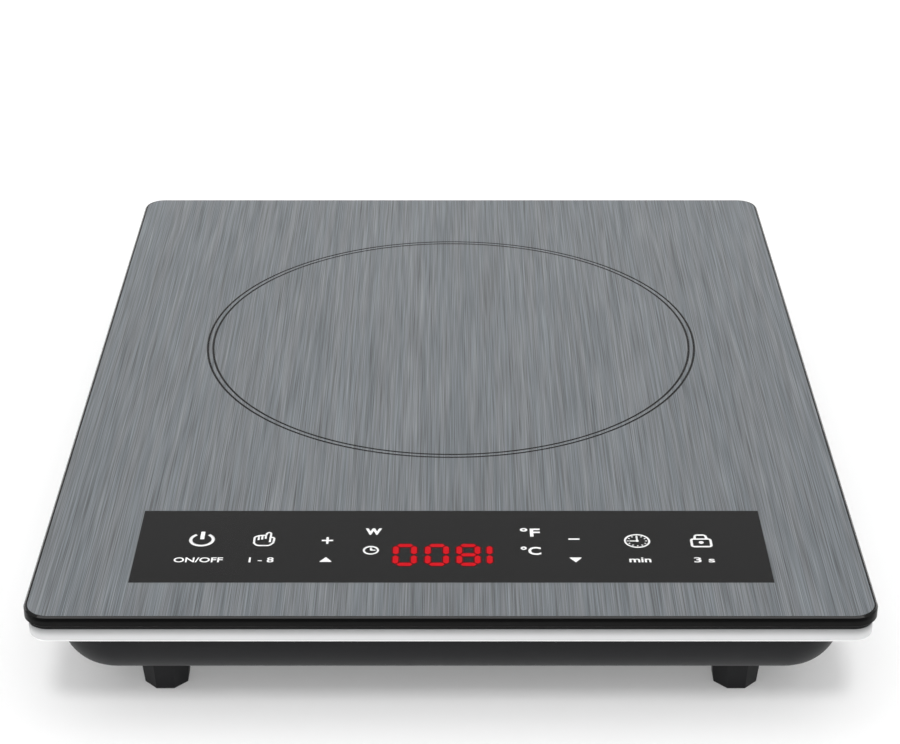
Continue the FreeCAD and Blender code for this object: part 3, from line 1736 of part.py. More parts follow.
def check():
    """Stops the build when an object failed, a shape is unsound or a cut removed nothing."""
    for item in doc.Objects:
        if "Invalid" in item.State or "Error" in item.State:
            raise RuntimeError(f"{item.Label}: {item.State}")
        if item.TypeId in ("PartDesign::Pocket", "PartDesign::Groove"):
            if item.Shape.Volume > item.BaseFeature.Shape.Volume - 1e-3:
                raise RuntimeError(f"{item.Label} cuts nothing")
    for body in nodes:
        if body.Shape.isNull() or not body.Shape.isValid() or not body.Shape.Solids:
            raise RuntimeError(f"{body.Label}: unsound shape")


build()
check()
os.makedirs("parts", exist_ok=True)
for body in nodes:
    body.Shape.exportStep(f"parts/{body.Label}.step")
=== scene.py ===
"""The looks of an electric induction cooktop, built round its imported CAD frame.

Sizes are in millimetres unless a comment says otherwise.
"""

import json
import math

import bmesh
import bpy
from mathutils import Matrix, Vector


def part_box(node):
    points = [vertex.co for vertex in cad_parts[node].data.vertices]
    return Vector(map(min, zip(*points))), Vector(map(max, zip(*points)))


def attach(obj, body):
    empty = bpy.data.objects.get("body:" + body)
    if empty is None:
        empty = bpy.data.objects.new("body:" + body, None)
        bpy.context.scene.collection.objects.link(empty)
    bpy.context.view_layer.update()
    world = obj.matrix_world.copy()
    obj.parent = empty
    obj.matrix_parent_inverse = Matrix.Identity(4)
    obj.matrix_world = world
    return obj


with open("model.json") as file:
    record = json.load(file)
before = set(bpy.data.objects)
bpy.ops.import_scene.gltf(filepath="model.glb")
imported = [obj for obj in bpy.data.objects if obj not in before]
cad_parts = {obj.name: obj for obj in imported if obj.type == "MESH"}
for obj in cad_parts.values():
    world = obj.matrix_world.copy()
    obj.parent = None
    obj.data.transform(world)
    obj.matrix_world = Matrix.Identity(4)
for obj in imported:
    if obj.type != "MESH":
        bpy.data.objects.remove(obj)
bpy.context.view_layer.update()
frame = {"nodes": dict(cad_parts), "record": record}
nodes = frame["nodes"]
MM = 0.001


def box_of(node):
    """Lowest and highest corner of a CAD node in millimetres."""
    low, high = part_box(node)
    return low / MM, high / MM


def middle_of(node):
    low, high = box_of(node)
    return (low + high) / 2


# ------------------------------------------------------------------------- shader expressions


class Socket:
    """The output of a shader node, for use in Python expressions."""

    def __init__(self, finish, socket):
        self.finish = finish
        self.socket = socket

    def __add__(self, other):
        return self.finish.math("ADD", self, other)

    __radd__ = __add__

    def __sub__(self, other):
        return self.finish.math("SUBTRACT", self, other)

    def __rsub__(self, other):
        return self.finish.math("SUBTRACT", other, self)

    def __mul__(self, other):
        return self.finish.math("MULTIPLY", self, other)

    __rmul__ = __mul__

    def __pow__(self, other):
        return self.finish.math("POWER", self, other)


def pick(sockets, key):
    """A node's socket by its number, identifier or name."""
    if isinstance(key, int):
        return sockets[key]
    for socket in sockets:
        if socket.identifier == key:
            return socket
    return sockets[key]


def colour(value):
    """A socket as it is, one number as a grey, and three numbers as a colour."""
    if isinstance(value, Socket):
        return value
    if isinstance(value, (int, float)):
        return (value, value, value, 1)
    return (*value[:3], 1)


def shade(tone, factor):
    """A colour made lighter or darker."""
    return [channel * factor for channel in tone[:3]]


class Finish:
    """A material whose shader is written as expressions on sockets."""

    def __init__(self, name):
        self.material = bpy.data.materials.new(name)
        self.material.use_nodes = True
        self.tree = self.material.node_tree
        self.tree.nodes.clear()
        self.place = self.node("TexCoord", output="Object")

    def node(self, kind, settings=None, inputs=None, output=0):
        """Adds a node: its settings first, then the numbers or links of its sockets."""
        made = self.tree.nodes.new("ShaderNode" + kind)
        for name, value in (settings or {}).items():
            setattr(made, name, value)
        for name, value in (inputs or {}).items():
            socket = pick(made.inputs, name)
            if isinstance(value, Socket):
                self.tree.links.new(value.socket, socket)
            else:
                socket.default_value = value
        if made.outputs:
            return Socket(self, pick(made.outputs, output))

    def math(self, operation, *values):
        return self.node("Math", {"operation": operation}, dict(enumerate(values)))

    def step(self, value, low, high):
        """0 below low and 1 above high, with a soft step between."""
        inputs = {"Value": value, "From Min": low, "From Max": high}
        return self.node("MapRange", {"interpolation_type": "SMOOTHSTEP"}, inputs, "Result")

    def cells_of(self, size, centre=(0, 0, 0)):
        """The place on the object from a centre, counted in cells of the given size."""
        moved = self.node("VectorMath", {"operation": "SUBTRACT"}, {0: self.place, 1: Vector(centre) * MM})
        scale = [1 / (side * MM) for side in size]
        return self.node("VectorMath", {"operation": "MULTIPLY"}, {0: moved, 1: scale})

    def noise(self, size, detail=2, roughness=0.5):
        """Cloudy values about 0.5, in cells of one size or of a size along each axis."""
        size = size if isinstance(size, tuple) else (size, size, size)
        inputs = {"Vector": self.cells_of(size), "Scale": 1, "Detail": detail, "Roughness": roughness}
        return self.node("TexNoise", inputs=inputs, output="Fac")

    def grains(self, size, output="Distance", feature="F1", randomness=1):
        """Grains, flakes or a grid of dots in cells of one size."""
        inputs = {"Vector": self.cells_of((size, size, size)), "Scale": 1, "Randomness": randomness}
        return self.node("TexVoronoi", {"feature": feature}, inputs, output)

    def wave(self, value, length):
        """0 to 1 and back, once for each length of a value in millimetres."""
        return 0.5 + 0.5 * self.math("SINE", value * (2 * math.pi / length))

    def axes(self, centre=(0, 0, 0)):
        """The distances in millimetres along X, Y and Z from a centre."""
        place = self.cells_of((1, 1, 1), centre)
        return [self.node("SeparateXYZ", inputs={0: place}, output=axis) for axis in range(3)]

    def blend(self, share, first, second):
        inputs = {"Factor_Float": share, "A_Color": colour(first), "B_Color": colour(second)}
        return self.node("Mix", {"data_type": "RGBA"}, inputs, "Result_Color")

    def bump(self, height, depth):
        """A relief in which a height of 1 stands this many millimetres above a height of 0."""
        return self.node("Bump", inputs={"Height": height, "Distance": depth * MM, "Strength": 1})

    def done(self, base, roughness, relief=None, **settings):
        """Ends in one shader. Settings are its other sockets, with _ for a space."""
        inputs = {name.replace("_", " "): value for name, value in settings.items()}
        inputs["Base Color"] = colour(base)
        inputs["Roughness"] = roughness
        if relief:
            inputs["Normal"] = relief
        shader = self.node("BsdfPrincipled", inputs=inputs)
        self.node("OutputMaterial", inputs={"Surface": shader})
        return self.material


# --------------------------------------------------------------------------------- finishes


tones = {row["slot"]: row["base_color"] for row in frame["record"]["materials"]}
glass_low, glass_high = box_of("glass_top")
coil = middle_of("coil_winding")

# heights between which the glass changes, measured from its face
FACE_STEP = (-0.06, -0.01)
BEVEL_STEP = (-0.7, -0.5)
BAND_STEP = (-2.3, -1.7)
BAND_DARKENING = 0.85
EDGE_SHINE = 0.06
BAND_DULLING = 0.05
BEVEL_SHINE = 0.62
FACE_SHINE = 0.32


def black_glass():
    """Glass with a polished face, a ground bevel that shines less, and a dark band below the bevel."""
    finish = Finish("black_glass")
    height = finish.axes((0, 0, glass_high.z))[2]
    bevel = finish.step(height, *BEVEL_STEP)
    band = finish.step(height, *BAND_STEP) - bevel
    face = finish.step(height, *FACE_STEP)
    base = finish.blend(finish.noise(60), 0.005, 0.008) * (1 - BAND_DARKENING * band)
    shine = EDGE_SHINE - BAND_DULLING * band + BEVEL_SHINE * bevel + FACE_SHINE * face
    return finish.done(
        base,
        0.30,
        Coat_Weight=shine,
        Coat_Roughness=0.02,
        Coat_IOR=1.52,
        Specular_IOR_Level=0.04,
    )


FILM_TONE = (0.245, 0.271, 0.293)
WARM_SHIFT = (1.07, 1.03, 1.01)
COOL_SHADE = 0.97
# width, length and height of the brush marks
HAIR_SIZE = (0.25, 38, 5)
THREAD_SIZE = (1.1, 90, 5)
BAND_SIZE = (9, 240, 5)
TINT_SIZE = (2.6, 90, 7)


def brushed_film():
    """Silver film under a clear coat, brushed from front to back: hairs over fainter, broader bands."""
    finish = Finish("brushed_film")
    hairs = finish.noise(HAIR_SIZE, detail=1)
    threads = finish.noise(THREAD_SIZE, detail=2)
    bands = finish.noise(BAND_SIZE, detail=2)
    tint = finish.noise(TINT_SIZE, detail=1)
    light = -0.17 + 1.95 * hairs + 0.26 * threads + 0.13 * bands
    warm = [shift * channel for shift, channel in zip(WARM_SHIFT, FILM_TONE)]
    silver = finish.blend(finish.step(tint, 0.35, 0.65), shade(FILM_TONE, COOL_SHADE), warm)
    base = finish.node(
        "Mix",
        {"data_type": "RGBA", "blend_type": "MULTIPLY"},
        {"Factor_Float": 1, "A_Color": silver, "B_Color": light},
        "Result_Color",
    )
    relief = finish.bump(hairs, 0.004)
    return finish.done(
        base,
        0.36 + 0.12 * hairs,
        relief,
        Metallic=0.55,
        Coat_Weight=1.0,
        Coat_Roughness=0.02,
        Coat_IOR=1.52,
    )


def moulded(slot, roughness=0.45, grain=0.35, depth=0.012, tone=None, **settings):
    """Moulded plastic or rubber with a fine grain, slightly uneven in tone and sheen."""
    finish = Finish(slot)
    tone = tone or tones[slot]
    relief = finish.noise(grain, detail=2)
    cloud = finish.noise(22, detail=3)
    base = finish.blend(cloud, shade(tone, 0.85), shade(tone, 1.15))
    sheen = roughness - 0.06 + 0.07 * cloud + 0.05 * relief
    return finish.done(base, sheen, finish.bump(relief, depth), **settings)


# darkest and brightest tone of the silver lacquer, the same tones darkened as painted shade under the
# glass's overhang, and a painted highlight along the lower edge
SILVER_TONES = ((0.58, 0.585, 0.59), (0.66, 0.66, 0.665))
SHADED_TONES = ((0.21, 0.214, 0.218), (0.26, 0.262, 0.266))
PAINTED_HIGHLIGHT_TONE = (0.97, 0.97, 0.97)
# heights above the lower housing between which the painted shade comes in towards the top edge, and between
# which the painted highlight along the lower edge gives way to the lacquer
SHADE_STEP = (1.6, 5.4)
HIGHLIGHT_STEP = (0.45, 0.9)


def satin_trim():
    """Silver lacquer with painted shade towards the upper edge, under the glass's overhang, and a painted
    highlight along the lower one.
    """
    finish = Finish("silver_trim")
    flake = finish.noise(0.12, detail=1)
    cloud = finish.noise(40, detail=2)
    lower_edge = box_of("lower_housing")[1].z
    height = finish.axes((0, 0, lower_edge))[2]
    silver = finish.blend(0.5 * flake + 0.5 * cloud, *SILVER_TONES)
    # the lacquer darkened towards the top as painted shade, standing in for the glass's overhang
    shaded = finish.blend(0.5 * flake + 0.5 * cloud, *SHADED_TONES)
    upper = finish.blend(finish.step(height, *SHADE_STEP), silver, shaded)
    # a painted highlight along the rounded lower edge, standing in for the bright floor's reflection
    above = finish.step(height, *HIGHLIGHT_STEP)
    base = finish.blend(above, PAINTED_HIGHLIGHT_TONE, upper)
    return finish.done(base, 0.34 + 0.08 * flake, finish.bump(flake, 0.001), Metallic=0.9 - 0.55 * above)


def plated(slot, roughness=0.3, spangle=0.8):
    """Plated or rolled metal with a faint spangle."""
    finish = Finish(slot)
    grain = finish.grains(spangle, "Color")
    cloud = finish.noise(5, detail=3)
    base = finish.blend(0.5 * cloud + 0.5 * grain, shade(tones[slot], 0.78), tones[slot])
    return finish.done(base, roughness - 0.05 + 0.14 * cloud, Metallic=1.0)


def drawn(slot, axis, roughness=0.32):
    """Extruded, drawn or ground metal, with fine lines along one axis."""
    size = [0.25, 0.25, 0.25]
    size[axis] = 30
    finish = Finish(slot)
    lines = finish.noise(tuple(size), detail=3)
    base = finish.blend(lines, shade(tones[slot], 0.75), tones[slot])
    return finish.done(base, roughness - 0.08 + 0.2 * lines, finish.bump(lines, 0.01), Metallic=1.0)


def laminated(slot, sheet=0.5):
    """A stack of stamped steel sheets, seen as fine level lines."""
    finish = Finish(slot)
    gap = finish.wave(finish.axes()[2], sheet) ** 6
    rust = finish.noise(3, detail=3)
    steel = finish.blend(rust, tones[slot], shade(tones[slot], 0.8))
    base = finish.blend(gap, steel, shade(tones[slot], 0.3))
    return finish.done(base, 0.42 + 0.2 * gap, finish.bump(1 - gap, 0.08), Metallic=0.9)


def wound(slot, centre, pitch, strands):
    """Wire wound about an upright axis: rounded turns, each twisted from fine strands."""
    finish = Finish(slot)
    x, y, z = finish.axes(centre)
    radius = finish.math("SQRT", x * x + y * y)
    angle = finish.math("ARCTAN2", y, x)
    turn = finish.wave(radius, pitch)
    strand = 0.5 + 0.5 * finish.math("SINE", angle * strands + radius * (2 * math.pi / pitch) + z * 2)
    wire = finish.blend(strand, shade(tones[slot], 0.75), tones[slot])
    base = finish.blend(finish.step(turn, 0.0, 0.45), shade(tones[slot], 0.35), wire)
    relief = finish.bump(turn + 0.2 * strand, 0.5)
    sheen = 0.34 + 0.1 * strand
    return finish.done(base, sheen, relief, Metallic=0.75, Coat_Weight=0.6, Coat_Roughness=0.2)


TRACK_SPACING = 5
PAD_PITCH = 2.54
TINNED_TONE = (0.62, 0.62, 0.60)


def solder_mask():
    """A printed circuit: bright tracks under green lacquer and a grid of tinned pads in places."""
    finish = Finish("green_board")
    tone = tones["green_board"]
    track = finish.step(finish.grains(TRACK_SPACING, feature="DISTANCE_TO_EDGE"), 0.05, 0.09)
    cloth = finish.noise(0.4, detail=1)
    pads = 1 - finish.step(finish.grains(PAD_PITCH, randomness=0), 0.20, 0.26)
    fields = finish.step(finish.noise(14, detail=1), 0.52, 0.56)
    tinned = pads * fields
    covered = finish.blend(cloth, shade(tone, 0.95), shade(tone, 1.25))
    lacquer = finish.blend(track, shade(tone, 0.62), covered)
    base = finish.blend(tinned, lacquer, TINNED_TONE)
    return finish.done(base, 0.30 + 0.06 * cloth, finish.bump(track + tinned, 0.04), Metallic=tinned)


def sintered(slot):
    finish = Finish(slot)
    grain = finish.grains(0.4)
    cloud = finish.noise(8, detail=4)
    base = finish.blend(0.4 * grain + 0.6 * cloud, shade(tones[slot], 0.7), shade(tones[slot], 1.4))
    return finish.done(base, 0.55 + 0.15 * grain, finish.bump(grain, 0.03))


def flaked():
    """Pressed mica: overlapping pale flakes."""
    finish = Finish("mica")
    flake = finish.grains(5, "Color")
    fine = finish.grains(1.2, "Color")
    base = finish.blend(0.6 * flake + 0.4 * fine, shade(tones["mica"], 0.7), shade(tones["mica"], 1.15))
    return finish.done(base, 0.28 + 0.15 * flake, Coat_Weight=0.3)


SEAL_TONE = (0.008, 0.008, 0.008)
HOUSING_TONE = (0.009, 0.0092, 0.0105)
TURN_PITCH = 2.2
STRANDS_ROUND = 260


def finishes():
    """The finish of each material slot."""
    return {
        "black_glass": black_glass(),
        "black_silicone": moulded("black_silicone", 0.6, 0.8, tone=SEAL_TONE, Specular_IOR_Level=0.2),
        "silver_trim": satin_trim(),
        "black_plastic": moulded("black_plastic", 0.50, 0.30, tone=HOUSING_TONE, Specular_IOR_Level=0.22),
        "black_rubber": moulded("black_rubber", 0.75, 0.5, 0.02),
        "zinc_steel": plated("zinc_steel"),
        "white_plastic": moulded("white_plastic", 0.42, 0.6),
        "brass": plated("brass", 0.26, 1.2),
        "green_board": solder_mask(),
        "core_steel": laminated("core_steel"),
        "copper": wound("copper", coil, TURN_PITCH, STRANDS_ROUND),
        "ferrite": sintered("ferrite"),
        "bright_steel": drawn("bright_steel", 2, 0.22),
        "mica": flaked(),
        "white_silicone": moulded("white_silicone", 0.55, 0.8),
        "aluminium": drawn("aluminium", 1, 0.4),
        "black_package": moulded("black_package", 0.55, 0.18, 0.01),
        "film_capacitor": moulded("film_capacitor", 0.38, 1.0, 0.01),
        "blue_disc": moulded("blue_disc", 0.3, 1.2, 0.02),
        "black_sleeve": moulded("black_sleeve", 0.35, 1.5, 0.01),
        "black_foam": sintered("black_foam"),
        "clear_light": moulded("clear_light", 0.15, 2.0, 0.005),
        "red_wire": moulded("red_wire", 0.4, 1.0, 0.01),
        "white_wire": moulded("white_wire", 0.4, 1.0, 0.01),
    }


def dress_frame(finish_of):
    """Gives each CAD node the finish of its material slot."""
    for part in frame["record"]["subparts"]:
        materials = nodes[part["node"]].data.materials
        materials.clear()
        materials.append(finish_of[part["material_slot"]])


# ---------------------------------------------------------------------- flat printed pieces


PRINT = 0.02
# an arc's handle is this times its radius and the tangent of a quarter of its angle
ARC = 4 / 3
MERGE_DISTANCE = 1e-4


def mesh_of(curve):
    """The mesh of a curve or text, with no object left behind."""
    holder = bpy.data.objects.new(curve.name, curve)
    bpy.context.scene.collection.objects.link(holder)
    depsgraph = bpy.context.evaluated_depsgraph_get()
    mesh = bpy.data.meshes.new_from_object(holder.evaluated_get(depsgraph))
    bpy.data.objects.remove(holder)
    return mesh


class Drawing:
    """A flat print drawn about its own origin: filled outlines by the even-odd rule, lines and text."""

    def __init__(self):
        self.meshes = []
        self.areas = None

    def spline(self, curve, closed):
        spline = curve.splines.new("BEZIER")
        spline.use_cyclic_u = closed
        return spline

    def corners(self, curve, points, closed=True):
        """A run of straight edges through points (x, y) or rounded corners (x, y, radius)."""
        stops = []
        count = len(points)
        for index, point in enumerate(points):
            here = Vector((point[0], point[1], 0))
            radius = point[2] if len(point) > 2 else 0
            inner = closed or 0 < index < count - 1
            if not radius or not inner:
                stops.append((here, None, None))
                continue
            before = Vector((*points[index - 1][:2], 0)) - here
            after = Vector((*points[(index + 1) % count][:2], 0)) - here
            opening = before.angle(after)
            reach = radius / math.tan(opening / 2)
            handle = ARC * math.tan((math.pi - opening) / 4) * radius
            start = here + before.normalized() * reach
            end = here + after.normalized() * reach
            stops.append((start, None, start - before.normalized() * handle))
            stops.append((end, end - after.normalized() * handle, None))
        spline = self.spline(curve, closed)
        spline.bezier_points.add(len(stops) - 1)
        for point, (place, left, right) in zip(spline.bezier_points, stops):
            point.co = place
            point.handle_left_type = "FREE" if left else "VECTOR"
            point.handle_right_type = "FREE" if right else "VECTOR"
            if left:
                point.handle_left = left
            if right:
                point.handle_right = right

    def arc(self, curve, x, y, radius, start=0, sweep=360):
        """An arc, or a whole circle, in quarter turns or less."""
        closed = sweep >= 360
        parts = math.ceil(sweep / 90)
        part = math.radians(sweep / parts)
        handle = ARC * math.tan(part / 4) * radius
        spline = self.spline(curve, closed)
        spline.bezier_points.add(parts - 1 if closed else parts)
        for index, point in enumerate(spline.bezier_points):
            angle = math.radians(start) + part * index
            out = Vector((math.cos(angle), math.sin(angle), 0))
            along = Vector((-out.y, out.x, 0)) * handle
            point.handle_left_type = point.handle_right_type = "FREE"
            point.co = Vector((x, y, 0)) + out * radius
            point.handle_left = point.co - along
            point.handle_right = point.co + along

    def area_curve(self, smoothness=12):
        if not self.areas:
            self.areas = bpy.data.curves.new("areas", "CURVE")
            self.areas.dimensions = "2D"
            self.areas.fill_mode = "BOTH"
            self.areas.extrude = PRINT / 2
            self.areas.resolution_u = smoothness
        return self.areas

    def area(self, *points):
        self.corners(self.area_curve(), points)
        return self

    def disc(self, x, y, radius):
        self.arc(self.area_curve(), x, y, radius)
        return self

    def box(self, x, y, width, height, radius=0):
        """A filled box about its middle."""
        left, right, low, high = x - width / 2, x + width / 2, y - height / 2, y + height / 2
        places = [(left, low), (right, low), (right, high), (left, high)]
        return self.area(*[(*place, radius) for place in places])

    def line_curve(self, width):
        curve = bpy.data.curves.new("line", "CURVE")
        curve.dimensions = "3D"
        curve.bevel_depth = width / 2
        curve.bevel_resolution = 0
        curve.resolution_u = 8
        curve.use_fill_caps = True
        return curve

    def flatten(self, curve, width):
        mesh = mesh_of(curve)
        mesh.transform(Matrix.Diagonal((1, 1, PRINT / width, 1)))
        self.meshes.append(mesh)
        return self

    def line(self, width, *points, closed=False):
        """A line of one width through points or rounded corners."""
        curve = self.line_curve(width)
        self.corners(curve, points, closed)
        return self.flatten(curve, width)

    def bow(self, width, x, y, radius, start=0, sweep=360):
        """An arc drawn with a line of one width."""
        curve = self.line_curve(width)
        self.arc(curve, x, y, radius, start, sweep)
        return self.flatten(curve, width)

    def text(self, words, width, height, weight=0.0):
        """Words fitted to a width and height about the origin."""
        curve = bpy.data.curves.new("text", "FONT")
        curve.body = words
        curve.size = height
        curve.extrude = PRINT / 2
        curve.offset = weight
        curve.resolution_u = 4
        mesh = mesh_of(curve)
        across = [vertex.co.x for vertex in mesh.vertices]
        up = [vertex.co.y for vertex in mesh.vertices]
        centre = Vector(((min(across) + max(across)) / 2, (min(up) + max(up)) / 2, 0))
        scale = Matrix.Diagonal((width / (max(across) - min(across)), height / (max(up) - min(up)), 1, 1))
        mesh.transform(scale @ Matrix.Translation(-centre))
        self.meshes.append(mesh)
        return self

    def made(self, name, x, y, level, material, slot):
        """The print as one piece, its origin at a place on the glass and its back at a level."""
        if self.areas:
            self.meshes.append(mesh_of(self.areas))
        work = bmesh.new()
        for mesh in self.meshes:
            work.from_mesh(mesh)
        bmesh.ops.remove_doubles(work, verts=work.verts, dist=MERGE_DISTANCE)
        bmesh.ops.recalc_face_normals(work, faces=work.faces)
        bmesh.ops.translate(work, verts=work.verts, vec=(x, y, level + PRINT / 2))
        bmesh.ops.scale(work, verts=work.verts, vec=(MM, MM, MM))
        mesh = bpy.data.meshes.new(name)
        work.to_mesh(mesh)
        work.free()
        mesh.materials.append(material)
        piece = bpy.data.objects.new(name, mesh)
        bpy.context.scene.collection.objects.link(piece)
        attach(piece, "hob")


# ------------------------------------------------------------------------------ the printing


board_low, board_high = box_of("control_board")

FILM_INSET = 0.65
FILM_SIDE_INSET = 1.2
FILM_CORNER = 7.85
RING_RADII = (98.25, 97.35, 96.1, 95.2)
WINDOW_SIDE = 7.5
WINDOW_SHIFT = 0.2

KEY_COLUMNS = (42.3, 64.1, 85.8)
KEY_ROW = -126.4
LABEL_ROW = -139.9
RIGHT_UNIT_COLUMN = 27.3

FILM_SMOOTHNESS = 64
HOURS = 12


def film(material):
    """The brushed film, cut away in two thin rings round the cooking zone and over the touch panel."""
    drawing = Drawing()
    areas = drawing.area_curve(FILM_SMOOTHNESS)
    width = glass_high.x - glass_low.x - 2 * FILM_SIDE_INSET
    depth = glass_high.y - glass_low.y - 2 * FILM_INSET
    drawing.box(0, 0, width, depth, FILM_CORNER)
    for radius in RING_RADII:
        drawing.arc(areas, coil.x, coil.y, radius)
    window_width = board_high.x - board_low.x + 2 * WINDOW_SIDE
    window_depth = board_high.y - board_low.y
    drawing.box(WINDOW_SHIFT, (board_low.y + board_high.y) / 2, window_width, window_depth)
    drawing.made("brushed_film", 0, 0, glass_high.z, material, "silver_trim")


def print_white():
    """Back-lit white ink."""
    finish = Finish("white_print")
    ink = finish.noise(0.5, detail=2)
    base = finish.blend(ink, 0.86, 0.94)
    return finish.done(
        base,
        0.3 + 0.1 * ink,
        Coat_Weight=1.0,
        Coat_Roughness=0.02,
        Emission_Color=colour(1.0),
        Emission_Strength=0.12,
    )


LIT_RED = (0.66, 0.004, 0.012)
GLOW_RED = (0.10, 0.002, 0.004)


def lit_red(name, tone):
    """A lit segment, its glow uneven in soft clouds."""
    finish = Finish(name)
    cloud = finish.noise(1.2, detail=2)
    glow = finish.blend(cloud, shade(tone, 0.8), tone)
    dark = shade(tone, 0.1)
    sheen = 0.4 + 0.1 * cloud
    return finish.done(dark, sheen, Specular_IOR_Level=0.1, Emission_Color=glow, Emission_Strength=1.0)


def power_symbol(drawing):
    """A ring open at the top, with a bar in the opening."""
    drawing.bow(1.2, 0, -0.6, 3.85, start=122, sweep=296)
    drawing.box(0, 2.2, 1.4, 5.0, 0.3)


def hand_symbol(drawing):
    """A pointing hand in outline."""
    stroke = 0.78
    outline = [
        (-2.2, -4.2, 1.6),
        (-3.3, -2.6, 0.8),
        (-3.3, 1.4, 1.2),
        (-1.9, 2.3, 0.8),
        (0.6, 2.6, 0.4),
        (0.9, 4.4, 0.9),
        (2.2, 4.4, 0.9),
        (2.2, 1.2, 0.4),
        (3.5, 0.9, 0.8),
        (3.3, -2.4, 0.8),
        (2.0, -4.2, 1.2),
    ]
    drawing.line(stroke, *outline, closed=True)
    for x, low, high in ((-1.9, -0.6, 2.0), (-0.7, -0.2, 2.3), (0.5, 0.2, 2.6), (2.1, -2.0, 1.4)):
        drawing.line(stroke, (x, low), (x, high))


def plus_symbol(drawing):
    drawing.box(0, 0, 3.9, 0.85)
    drawing.box(0, 1.3, 0.8, 1.75)
    drawing.box(0, -1.3, 0.8, 1.75)


def minus_symbol(drawing):
    drawing.box(0, 0, 3.8, 0.85)


def clock_symbol(drawing):
    """A clock face with its hour marks and two hands."""
    drawing.bow(0.75, 0, 0, 4.15)
    for hour in range(HOURS):
        angle = math.radians(360 / HOURS * hour)
        out = Vector((math.cos(angle), math.sin(angle)))
        drawing.line(0.48, out * 2.8, out * 3.5)
    drawing.line(0.75, (0, 3.0), (0, 0), (-2.6, 0))
    drawing.disc(0, 0, 0.6)


def small_clock(drawing):
    drawing.bow(0.8, 0, 0, 2.4)
    drawing.line(0.75, (0, 1.8), (0, 0.1), (1.6, 0.1))
    drawing.disc(0.15, 0.25, 0.5)


def lock_symbol(drawing):
    """A padlock: its body, its shackle and its keyhole."""
    body = [(-3.3, -4.0, 0.9), (3.3, -4.0, 0.9), (3.3, 1.0, 0.9), (-3.3, 1.0, 0.9)]
    drawing.line(0.95, *body, closed=True)
    drawing.line(0.9, (-2.1, 1.0), (-1.7, 3.6, 0.9), (1.7, 3.6, 0.9), (2.1, 1.0))
    drawing.disc(0, -1.3, 0.85)


def up_mark(drawing):
    drawing.area((-2.2, -1.5, 0.2), (2.2, -1.5, 0.2), (0, 1.6, 0.2))


def down_mark(drawing):
    drawing.area((-2.2, 1.5, 0.2), (2.2, 1.5, 0.2), (0, -1.6, 0.2))


def panel(material):
    """Symbols and short marks on the touch panel."""
    inner, centre, outer = KEY_COLUMNS
    # each symbol's drawing and place
    symbols = {
        "power_symbol": (power_symbol, -outer + 0.4, KEY_ROW + 0.2),
        "program_symbol": (hand_symbol, -centre, KEY_ROW),
        "plus_symbol": (plus_symbol, -inner, KEY_ROW - 0.9),
        "minus_symbol": (minus_symbol, inner, KEY_ROW),
        "timer_symbol": (clock_symbol, centre - 0.2, KEY_ROW - 1.2),
        "lock_symbol": (lock_symbol, outer, KEY_ROW - 0.9),
        "up_mark": (up_mark, -inner, LABEL_ROW + 0.2),
        "down_mark": (down_mark, inner, LABEL_ROW),
        "clock_mark": (small_clock, -27.2, -133.7),
    }
    for name, (draw, x, y) in symbols.items():
        drawing = Drawing()
        draw(drawing)
        drawing.made(name, x, y, glass_high.z, material, "white_plastic")
    # each mark's words, place, width, height and weight
    words = {
        "power_label": ("ON/OFF", -outer + 0.4, LABEL_ROW, 16.6, 3.1, 0.05),
        "program_label": ("1 - 8", -centre, LABEL_ROW, 8.4, 3.2, 0.04),
        "timer_label": ("min", centre, LABEL_ROW, 7.4, 3.1, 0.06),
        "lock_label": ("3 s", outer, LABEL_ROW, 7.0, 3.2, 0.04),
        "watt_mark": ("W", -26.6, -121.4, 5.7, 4.2, 0.22),
        "fahrenheit_mark": ("°F", RIGHT_UNIT_COLUMN, -121.9, 6.9, 5.6, 0.12),
        "celsius_mark": ("°C", RIGHT_UNIT_COLUMN, -134.0, 6.9, 5.4, 0.12),
    }
    for name, (word, x, y, width, height, weight) in words.items():
        drawing = Drawing().text(word, width, height, weight)
        drawing.made(name, x, y, glass_high.z, material, "white_plastic")


DIGIT_WIDTH = 8.2
DIGIT_HEIGHT = 14.1
DIGIT_ROW = -136.7
DIGITS = (("0", -15.6), ("0", -4.7), ("8", 6.0), ("1", 16.3))
STROKE = 2.0
SEGMENT_WIDTH = 1.9
GLOW_SPREAD = 0.5
SEGMENT_GAP = 0.3
SEGMENT_CORNER = 0.6
SEGMENTS = {"0": "abcdef", "8": "abcdefg", "1": "ef"}


def segment(drawing, letter, spread):
    """One of the seven bars of a digit, with pointed ends, made wider all round by a spread."""
    side = (DIGIT_WIDTH - STROKE) / 2
    rise = (DIGIT_HEIGHT - STROKE) / 2
    half = SEGMENT_WIDTH / 2 + spread
    level = {"a": rise, "d": -rise, "g": 0}
    if letter in level:
        y = level[letter]
        tip = side - SEGMENT_GAP + spread
        flat = tip - half
        ends = [(-tip, 0), (-flat, -half), (flat, -half), (tip, 0), (flat, half), (-flat, half)]
        drawing.area(*[(x, y + up, SEGMENT_CORNER) for x, up in ends])
        return
    x = side if letter in "bc" else -side
    middle = rise / 2 if letter in "bf" else -rise / 2
    tip = rise / 2 - SEGMENT_GAP + spread
    flat = tip - half
    ends = [(0, -tip), (half, -flat), (half, flat), (0, tip), (-half, flat), (-half, -flat)]
    drawing.area(*[(x + across, middle + y, SEGMENT_CORNER) for across, y in ends])


def digits(bright, glow):
    """Four lit digits, each with a faint glow round its segments."""
    layers = (("digit", bright, PRINT, 0.0), ("digit_glow", glow, 0, GLOW_SPREAD))
    for place, (figure, x) in enumerate(DIGITS):
        for name, material, level, spread in layers:
            drawing = Drawing()
            for letter in SEGMENTS[figure]:
                one = Drawing()
                segment(one, letter, spread)
                drawing.meshes.append(mesh_of(one.areas))
            drawing.made(f"{name}_{place + 1}", x, DIGIT_ROW, glass_high.z + level, material, "clear_light")


